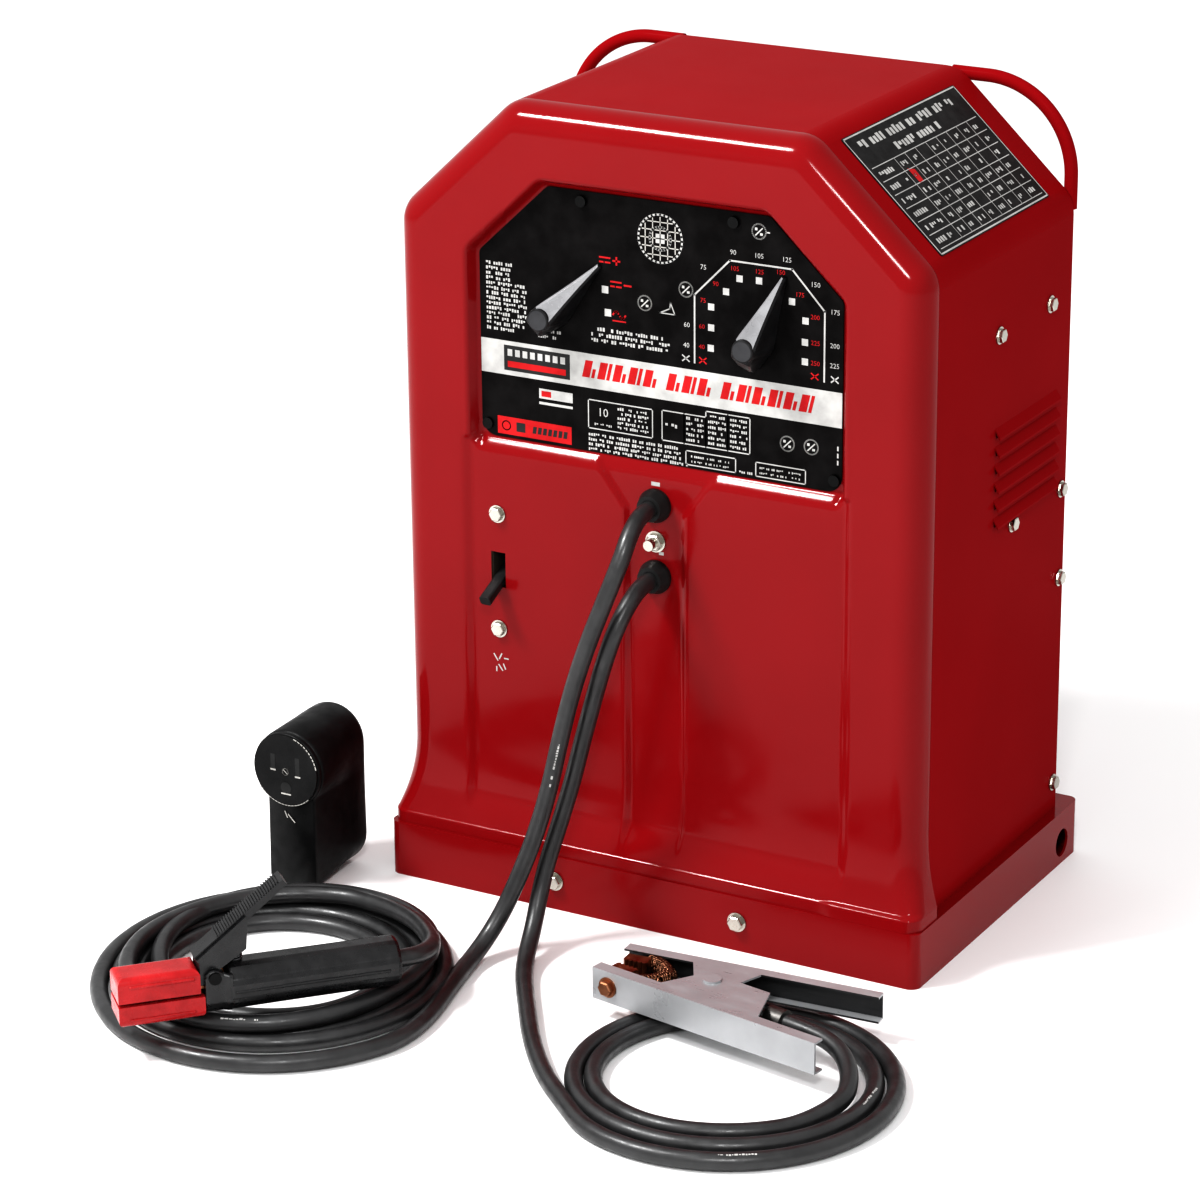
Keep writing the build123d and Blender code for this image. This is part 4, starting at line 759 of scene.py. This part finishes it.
def knob(name, x, angle, body, node):
    """Round hub with a long sloped pointer, a short tail and a dark disc on top."""
    a = math.radians(angle)
    along, across = Vector((math.cos(a), 0, math.sin(a))), Vector((-math.sin(a), 0, math.cos(a)))
    base = Vector((x, KNOB_Y, KNOB_Z))

    def at(s, t, h):
        return tuple(base + along * s + across * t + Vector((0, -h, 0)))

    sections = []
    for s, foot, top, high in POINTER:
        sections.append([at(s, -foot, 0), at(s, -top - 0.4, high - 1.5), at(s, -top + 1.1, high),
                         at(s, top - 1.1, high), at(s, top + 0.4, high - 1.5), at(s, foot, 0)])
    points, faces = loft(sections)
    # the pale face, a painted highlight in place of the pointer's shine, is the top of the pointer
    # ahead of the hub
    indices = [1 if k % 6 in (2, 3) and k // 6 >= 5 else 0 for k in range(len(faces))]
    hub = []
    for radius, high in HUB:
        hub.append([at(radius * math.cos(k * math.pi / 16), radius * math.sin(k * math.pi / 16), high)
                    for k in range(32)])
    hub_points, hub_faces = loft(hub)
    faces += [tuple(len(points) + k for k in face) for face in hub_faces]
    points += hub_points
    indices += [0] * (len(hub_faces) - 1) + [2]
    finishes = (mats["knob_plastic"], knob_painted_highlight, knob_disc)
    obj = build(name, points, faces, body, "knob_plastic", finishes, indices)
    soften(obj, 0.5, 2, 25)
    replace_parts(obj, node)


knob("mode_knob_moulding", -82, 47, "mode_selector", "mode_knob")
knob("current_knob_moulding", 82, 69, "current_selector", "current_knob")

# ---------------------------------------------------------------- supply receptacle
SOCKET_X, MIDDLE_Z, DISC_Z, DISC_R = -273, 66, 97, 30
FACE_BACK = -203


def keyhole(angle):
    """Distance from the housing's middle to its outline, a disc on a narrower foot."""
    dx, dz = math.cos(angle), math.sin(angle)
    rise = DISC_Z - MIDDLE_Z
    reach = 21 / max(abs(dx), 1e-6)
    reach = min(reach, MIDDLE_Z / -dz if dz < 0 else rise / max(dz, 1e-6))
    b = dz * rise
    square = b * b - rise ** 2 + DISC_R ** 2
    if square > 0 and b > 0 and b - math.sqrt(square) <= reach + 3:
        reach = max(reach, b + math.sqrt(square))
    return reach


def stadium(angle):
    """Distance from the housing's middle to the tall back part's outline."""
    dx, dz = math.cos(angle), math.sin(angle)
    corners = [(-27, 0), (27, 0), (27, 129), (-27, 129)]
    return reach_inside(lambda r: rounded_depth(r * dx, MIDDLE_Z + r * dz, corners, 26.5),
                        0.0, 120.0, 24)


sections = []
for y, mix, shrink in ((-202.4, 0, 2.2), (-201.4, 0, 0.8), (-199.5, 0, 0), (-170, 0.62, 0),
                       (-160, 0.9, 0), (-155, 1, 0), (-142, 1, 0), (-139.6, 1, 0.7), (-139, 1, 2.2)):
    ring = []
    for k in range(96):
        angle = 2 * math.pi * k / 96
        reach = (1 - mix) * keyhole(angle) + mix * stadium(angle) - shrink
        ring.append((SOCKET_X + reach * math.cos(angle), y,
                     max(0.0, MIDDLE_Z + reach * math.sin(angle))))
    sections.append(ring)
points, faces = loft(sections)
receptacle = build("receptacle_moulding", points, faces, "cabinet", "receptacle_black")
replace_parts(receptacle, "receptacle_body")
sections = []
for radius, y in ((29.2, FACE_BACK), (29.2, -205.4), (28.6, -206.4), (27.4, -206.6), (26.8, -205.6)):
    sections.append([(SOCKET_X + radius * math.cos(k * math.pi / 32), y,
                      DISC_Z + radius * math.sin(k * math.pi / 32)) for k in range(64)])
points, faces = loft(sections, caps=False)
build("receptacle_rim", points, faces, "cabinet", "receptacle_black")
# marks above v = -30 lie on the disc, the others on the foot behind it
socket = Print(lambda u, v, lift: (SOCKET_X + u, (-208 if v > -30 else FACE_BACK) - lift, DISC_Z + v))
# painted shade: each slot is a black mark in place of its opening's shade, and the grey bar under it is
# a painted highlight on its lower edge
for u, low, high in ((-11, 0, 12), (11, -2.5, 12)):
    socket.bar(u - 2, low, u + 2, high, BLACK)
    socket.bar(u - 2.4, low - 1.6, u + 2.4, low - 0.2, GREY)
sixteenth = math.pi / 8
# painted shade: the round hole is a black mark, with a grey painted highlight under it
socket.shape([(4.6 * math.cos(k * sixteenth), -14 + 4.6 * math.sin(k * sixteenth)) for k in range(16)],
             BLACK)
socket.bar(-4.4, -19.6, 4.4, -18.4, GREY)
# painted highlights: grey arcs on the rim
for first, last, width in ((12, 74, 0.9), (212, 318, 0.6)):
    socket.line([(28.2 * math.cos(math.radians(t)), 28.2 * math.sin(math.radians(t)))
                 for t in range(first, last, 6)], width, GREY)
socket.line([(-5, -36), (-3, -40.5)], 0.9, GREY)
socket.line([(-2, -38), (3.5, -43.5)], 0.9, GREY)
socket.ring(0, -1, 2.6, 0.5, GREY)
socket.line([(-1.6, 0.4), (1.6, -2.4)], 0.6, GREY)
socket.finish("receptacle_slot_shade_and_highlights", "cabinet", "receptacle_black")

# ---------------------------------------------------------------- electrode holder
NECK = Vector((-178.5, -458, 45))
HEADING = math.radians(47)
H_ALONG = Vector((math.cos(HEADING), math.sin(HEADING), 0))
H_SIDE = Vector((-H_ALONG.y, H_ALONG.x, 0))


def on_holder(u, v, w):
    """A point in the holder's own axes, in millimetres."""
    return tuple(NECK + H_ALONG * u + H_SIDE * v + Vector((0, 0, w)))


CHAMFER = 7.0


def octagon(u, flat):
    """Eight-sided section, flat from the axis to a side, with its corners cut."""
    ring = []
    for k in range(8):
        for turn_by in (-CHAMFER, CHAMFER):
            angle = math.radians(22.5 + 45 * k + turn_by)
            radius = flat / math.cos(math.radians(22.5 - CHAMFER))
            ring.append(on_holder(u, radius * math.cos(angle), radius * math.sin(angle)))
    return ring


points, faces = loft([octagon(u, flat) for u, flat in (
    (17.2, 2), (17, 16.2), (18.5, 17.4), (22, 17.6), (60, 17.3), (100, 17.2), (132, 17.3),
    (137.5, 17), (140, 15.2), (140.4, 9.5), (133, 8.8), (133.2, 5.5))], caps=False)
sleeve = build("holder_sleeve", points, faces, "cabinet", "holder_black", smooth=False)
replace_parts(sleeve, "holder_handle")
soften(sleeve, 0.8, 2, 20)
sections = []
for u, wide, top, low in ((-0.7, 14.6, 12.6, 16.4), (0.4, 15, 14.2, 17), (3, 15, 16.4, 17),
                          (6, 15, 17, 17), (9, 15, 16.4, 17), (12.5, 15, 14.4, 17),
                          (16, 16.6, 13.4, 17.2), (19, 16.8, 13, 17)):
    section = [(11, top), (wide - 1.4, top), (wide, top - 1.8), (wide, -7.4), (wide - 8.6, -low)]
    section += [(-v, w) for v, w in reversed(section)] + [(-11, -4), (11, -4)]
    sections.append([on_holder(u, v, w) for v, w in section])
points, faces = loft(sections)
ears = build("holder_ears", points, faces, "cabinet", "holder_black", smooth=False)
soften(ears, 0.7, 2, 30)
sections = []
for v, inset in ((-10.4, 0.6), (-9.8, 0), (9.8, 0), (10.4, 0.6)):
    sections.append([on_holder(u, v, w) for u, w in (
        (-4.1 + inset, 5 + inset), (-4.1 + inset, 19), (-3.4 + inset, 22), (2, 26 - inset),
        (5 - inset, 20), (5 - inset, 6 + inset))])
points, faces = loft(sections)
build("holder_yoke", points, faces, "holder_jaw", "holder_black", smooth=False)
for side in (-1, 1):
    section = ((17.0, -1.4), (18.1, -0.9), (18.1, 0.7), (17.0, 1.2))
    points, faces = loft([[on_holder(u, side * v, w) for v, w in section] for u in (20, 21, 130, 131)])
    build("holder_seam_%s" % ("near" if side < 0 else "far"), points, faces, "cabinet", "holder_black")
for name, body, low, high in (("holder_upper_rib", "holder_jaw", 11.6, 14.4),
                              ("holder_lower_rib", "cabinet", -12.6, -10.6)):
    points, faces = [], []
    for side in (-1, 1):
        section = ((13.2, low), (14.9, low + 0.5), (14.9, high - 0.5), (13.2, high))
        ring_points, ring_faces = loft([[on_holder(u, side * v, w) for v, w in section]
                                        for u in (-54, -53, -9, -8)])
        faces += [tuple(len(points) + k for k in face) for face in ring_faces]
        points += ring_points
    build(name, points, faces, body, "holder_red")
# grip ribs across the lever, which narrows towards its end
LEVER, LEVER_LENGTH, RIB_PITCH, RIB_COUNT = math.radians(38.5), 82, 2.15, 27
points, faces = [], []
for k in range(RIB_COUNT):
    s = 22 + RIB_PITCH * k
    half = 8.3 - 1.6 * (s / LEVER_LENGTH) ** 2
    low, high = 5.2 + 0.6 * (1 - s / LEVER_LENGTH), 6.6 + 0.5 * (1 - s / LEVER_LENGTH)
    rings = []
    for ds, lift in ((-0.55, low), (-0.35, high), (0.35, high), (0.55, low)):
        u = -3 + (s + ds) * math.cos(LEVER) - lift * math.sin(LEVER)
        w = 21.5 + (s + ds) * math.sin(LEVER) + lift * math.cos(LEVER)
        rings.append([on_holder(u, -half, w), on_holder(u, half, w)])
    start = len(points)
    points += [point for ring in rings for point in ring]
    for row in range(3):
        a = start + 2 * row
        faces.append((a, a + 1, a + 3, a + 2))
    faces.append((start, start + 2, start + 4, start + 6))
    faces.append((start + 7, start + 5, start + 3, start + 1))
build("holder_lever_ribs", points, faces, "holder_jaw", "holder_black", smooth=False)


def wire(name, strands, radius, body, slot, sides=2):
    """Round wires through lists of points in millimetres, as one mesh."""
    data = bpy.data.curves.new(name, "CURVE")
    data.dimensions = "3D"
    data.bevel_depth = MM * radius
    data.bevel_resolution = sides
    data.use_fill_caps = True
    for strand in strands:
        spline = data.splines.new("POLY")
        spline.points.add(len(strand) - 1)
        for point, place in zip(spline.points, strand):
            point.co = (*[MM * value for value in place], 1)
    curve = bpy.data.objects.new(name + "_path", data)
    scene.collection.objects.link(curve)
    bpy.context.view_layer.update()
    shape = bpy.data.meshes.new_from_object(curve)
    bpy.data.objects.remove(curve)
    bpy.data.curves.remove(data)
    shape.name = name
    shape.materials.clear()
    shape.materials.append(mats[slot])
    shape.shade_smooth()
    return add_piece(name, shape, body)


def helix(place, u, radius, turns, low, rise):
    """Points of an upright coil spring, in the axes of place."""
    steps = 16 * turns
    angles = [2 * math.pi * k / 16 for k in range(steps + 1)]
    return [place(u + radius * math.cos(t), radius * math.sin(t), low + rise * k / steps)
            for k, t in enumerate(angles)]


coil = helix(on_holder, 24, 4.3, 6, 17.6, 11.4)
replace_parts(wire("holder_coil_spring", [coil], 0.75, "cabinet", "spring_steel"), "holder_spring")

# ---------------------------------------------------------------- work clamp
RIVET = Vector((124, -271, 28))
MEAN = math.radians(-3)
C_ALONG = Vector((math.cos(MEAN), math.sin(MEAN), 0))
C_SIDE = Vector((-C_ALONG.y, C_ALONG.x, 0))


def on_clamp(u, v, w):
    """A point in the clamp's own axes, from the rivet's middle, in millimetres."""
    return tuple(RIVET + C_ALONG * u + C_SIDE * v + Vector((0, 0, w)))


coil = helix(on_clamp, 0, 7.2, 5, -7.4, 14.8)
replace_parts(wire("clamp_coil_spring", [coil], 1.1, "cabinet", "spring_steel"), "clamp_spring")

BRAID = [(-62, -20), (-54, -17), (-46, -12), (-40, -6), (-38, 0), (-40, 6), (-46, 12), (-54, 17),
         (-62, 20)]


def along_braid(t):
    """Centre and sideways direction of the copper braid at t from 0 to 1."""
    place = t * (len(BRAID) - 1)
    k = min(int(place), len(BRAID) - 2)
    f = place - k
    (u0, v0), (u1, v1) = BRAID[k], BRAID[k + 1]
    size = math.hypot(u1 - u0, v1 - v0)
    return u0 + f * (u1 - u0), v0 + f * (v1 - v0), -(v1 - v0) / size, (u1 - u0) / size


STRANDS, STRAND_STEPS, TWISTS = 18, 48, 3.1
BRAID_HALF, BRAID_HIGH = 6.4, 9.2
strands = []
for k in range(STRANDS):
    hand = 1 if k % 2 else -1
    strand = []
    for row in range(STRAND_STEPS + 1):
        t = row / STRAND_STEPS
        u, v, nu, nv = along_braid(t)
        phase = 2 * math.pi * (k / STRANDS + hand * TWISTS * t)
        thick = BRAID_HALF + 0.5 * hand * math.cos(9 * phase)
        across = thick * math.cos(phase)
        strand.append(on_clamp(u + nu * across, v + nv * across, BRAID_HIGH * math.sin(phase)))
    strands.append(strand)
braid = wire("clamp_braid", strands, 0.75, None, "copper", sides=1)
braid.data.materials[0] = plated("braid_copper", (0.16, 0.075, 0.045), 0.26)
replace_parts(braid, "clamp_shunt")
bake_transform(braid)

def paint_shade_towards(mat, direction):
    """Painted shade: darken a material where the face looks along a direction in object axes."""
    tree = mat.node_tree
    bright = tree.nodes["Principled BSDF"].inputs["Base Color"].links[0].from_socket
    facing = tree.nodes.new("ShaderNodeVectorMath")
    facing.operation = "DOT_PRODUCT"
    facing.inputs[1].default_value = direction
    tree.links.new(tree.nodes.new("ShaderNodeTexCoord").outputs["Normal"], facing.inputs[0])
    shade = tree.nodes.new("ShaderNodeMix")
    shade.data_type, shade.blend_type = "RGBA", "MULTIPLY"
    shade.inputs[0].default_value = 1.0
    # inputs 6 and 7 and output 2 are the node's colour sockets
    tree.links.new(bright, shade.inputs[6])
    tree.links.new(ramp(mat, facing.outputs["Value"], 1.0, 0.09, (0.86, 0.92)), shade.inputs[7])
    drive(mat, "Base Color", shade.outputs[2])


# painted shade: the arms are darkened on the faces that look at each other, where they shade one
# another
for node, side in (("clamp_near_arm", 1), ("clamp_far_arm", -1)):
    # each arm gets its own copy of the zinc, carrying that painted shade
    arm_zinc_with_painted_shade = mats["clamp_zinc"].copy()
    arm_zinc_with_painted_shade.name = node + "_zinc"
    paint_shade_towards(arm_zinc_with_painted_shade, side * (nodes[node].matrix_world.to_3x3().inverted() @ C_SIDE))
    refinish(node, arm_zinc_with_painted_shade)
refinish("holder_pivot_pin", mats["black_screw"])
refinish("clamp_cable_lug", plated("clamp_lug", (0.12, 0.115, 0.11), 0.4))

# ---------------------------------------------------------------- print on the leads
def cable_print(name, here, there, up, seed, length=26):
    """White flecks along the outside of a straight stretch of lead."""
    here, there = Vector(here), Vector(there)
    along = (there - here).normalized()
    out = (up - along * up.dot(along)).normalized()
    side = along.cross(out)
    middle = (here + there) / 2

    def place(u, v, lift):
        turn_by = v / LEAD_R
        outward = out * math.cos(turn_by) + side * math.sin(turn_by)
        return tuple(middle + along * u + outward * (LEAD_R + 0.05 + lift))

    marks = Print(place)
    marks.seed, marks.lift = seed, 0.0
    u = -length / 2
    while u < length / 2:
        wide = 0.8 + 1.9 * marks.random()
        low = -0.9 + 0.5 * marks.random()
        if marks.random() < 0.75:
            marks.bar(u, low, u + wide, low + 0.8 + 0.9 * marks.random(), WHITE)
        u += wide + 0.6
    marks.finish(name, "cabinet", "lead_rubber")


toward = Vector((0.46, -0.81, 0.36))
cable_print("lead_print_a", ELECTRODE_ROUTE[7], ELECTRODE_ROUTE[8], toward, 11, 34)
for name, route, index, tilt, seed in (
    ("lead_print_b", electrode_turns, 83, Vector((0.3, -0.5, 0.8)), 23),
    ("lead_print_c", work_turns, 2, Vector((0.1, -0.3, 0.95)), 31),
    ("lead_print_d", work_turns, 21, Vector((0.3, -0.3, 0.9)), 47),
):
    cable_print(name, route[index], route[index + 1], tilt, seed)

# ---------------------------------------------------------------- softer edges on plain pieces
for node, width in (("base_pan", 1.6), ("holder_upper_jaw_cover", 2.0), ("holder_lower_jaw_cover", 2.0),
                    ("holder_lever", 0.5), ("clamp_near_arm", 0.35), ("clamp_far_arm", 0.35),
                    ("line_switch_toggle", 0.7), ("control_nameplate", 0.3), ("rear_panel", 0.3)):
    soften(nodes[node], width)

# ---------------------------------------------------------------- studio
FLOOR_HALF = 9
floor_mesh = bpy.data.meshes.new("floor")
corners = [(FLOOR_HALF * x, FLOOR_HALF * y, 0) for x, y in ((-1, -1), (1, -1), (1, 1), (-1, 1))]
floor_mesh.from_pydata(corners, [], [(0, 1, 2, 3)])
floor = bpy.data.objects.new("floor", floor_mesh)
scene.collection.objects.link(floor)
floor_mesh.materials.append(new_material("floor", (0.86, 0.86, 0.86), 0.6))

world = bpy.data.worlds.new("studio")
scene.world = world
world.use_nodes = True
background = world.node_tree.nodes["Background"]
background.inputs["Color"].default_value = (1, 1, 1, 1)
background.inputs["Strength"].default_value = 0.7


def area_light(name, place, target, size, power, mirrored=True):
    """Soft box aimed at target; mirrored False keeps it out of reflections."""
    data = bpy.data.lights.new(name, "AREA")
    data.shape = "RECTANGLE"
    data.size, data.size_y = size
    data.energy = power
    light = bpy.data.objects.new(name, data)
    light.visible_glossy = mirrored
    scene.collection.objects.link(light)
    light.location = place
    light.rotation_mode = "QUATERNION"
    light.rotation_quaternion = (Vector(target) - Vector(place)).to_track_quat("-Z", "Y")


area_light("key", (-1.39, -1.53, 2.85), (0, -0.1, 0.4), (0.72, 0.42), 92)
area_light("front", (-1.3, -2.9, 0.9), (0, -0.1, 0.4), (0.8, 0.8), 22, mirrored=False)
area_light("shoulder", (1.23, -2.45, 2.15), (0.15, -0.1, 0.5), (0.33, 0.3), 30)
area_light("side", (2.4, 0.1, 1.5), (0.2, 0, 0.35), (0.8, 0.8), 4.5, mirrored=False)
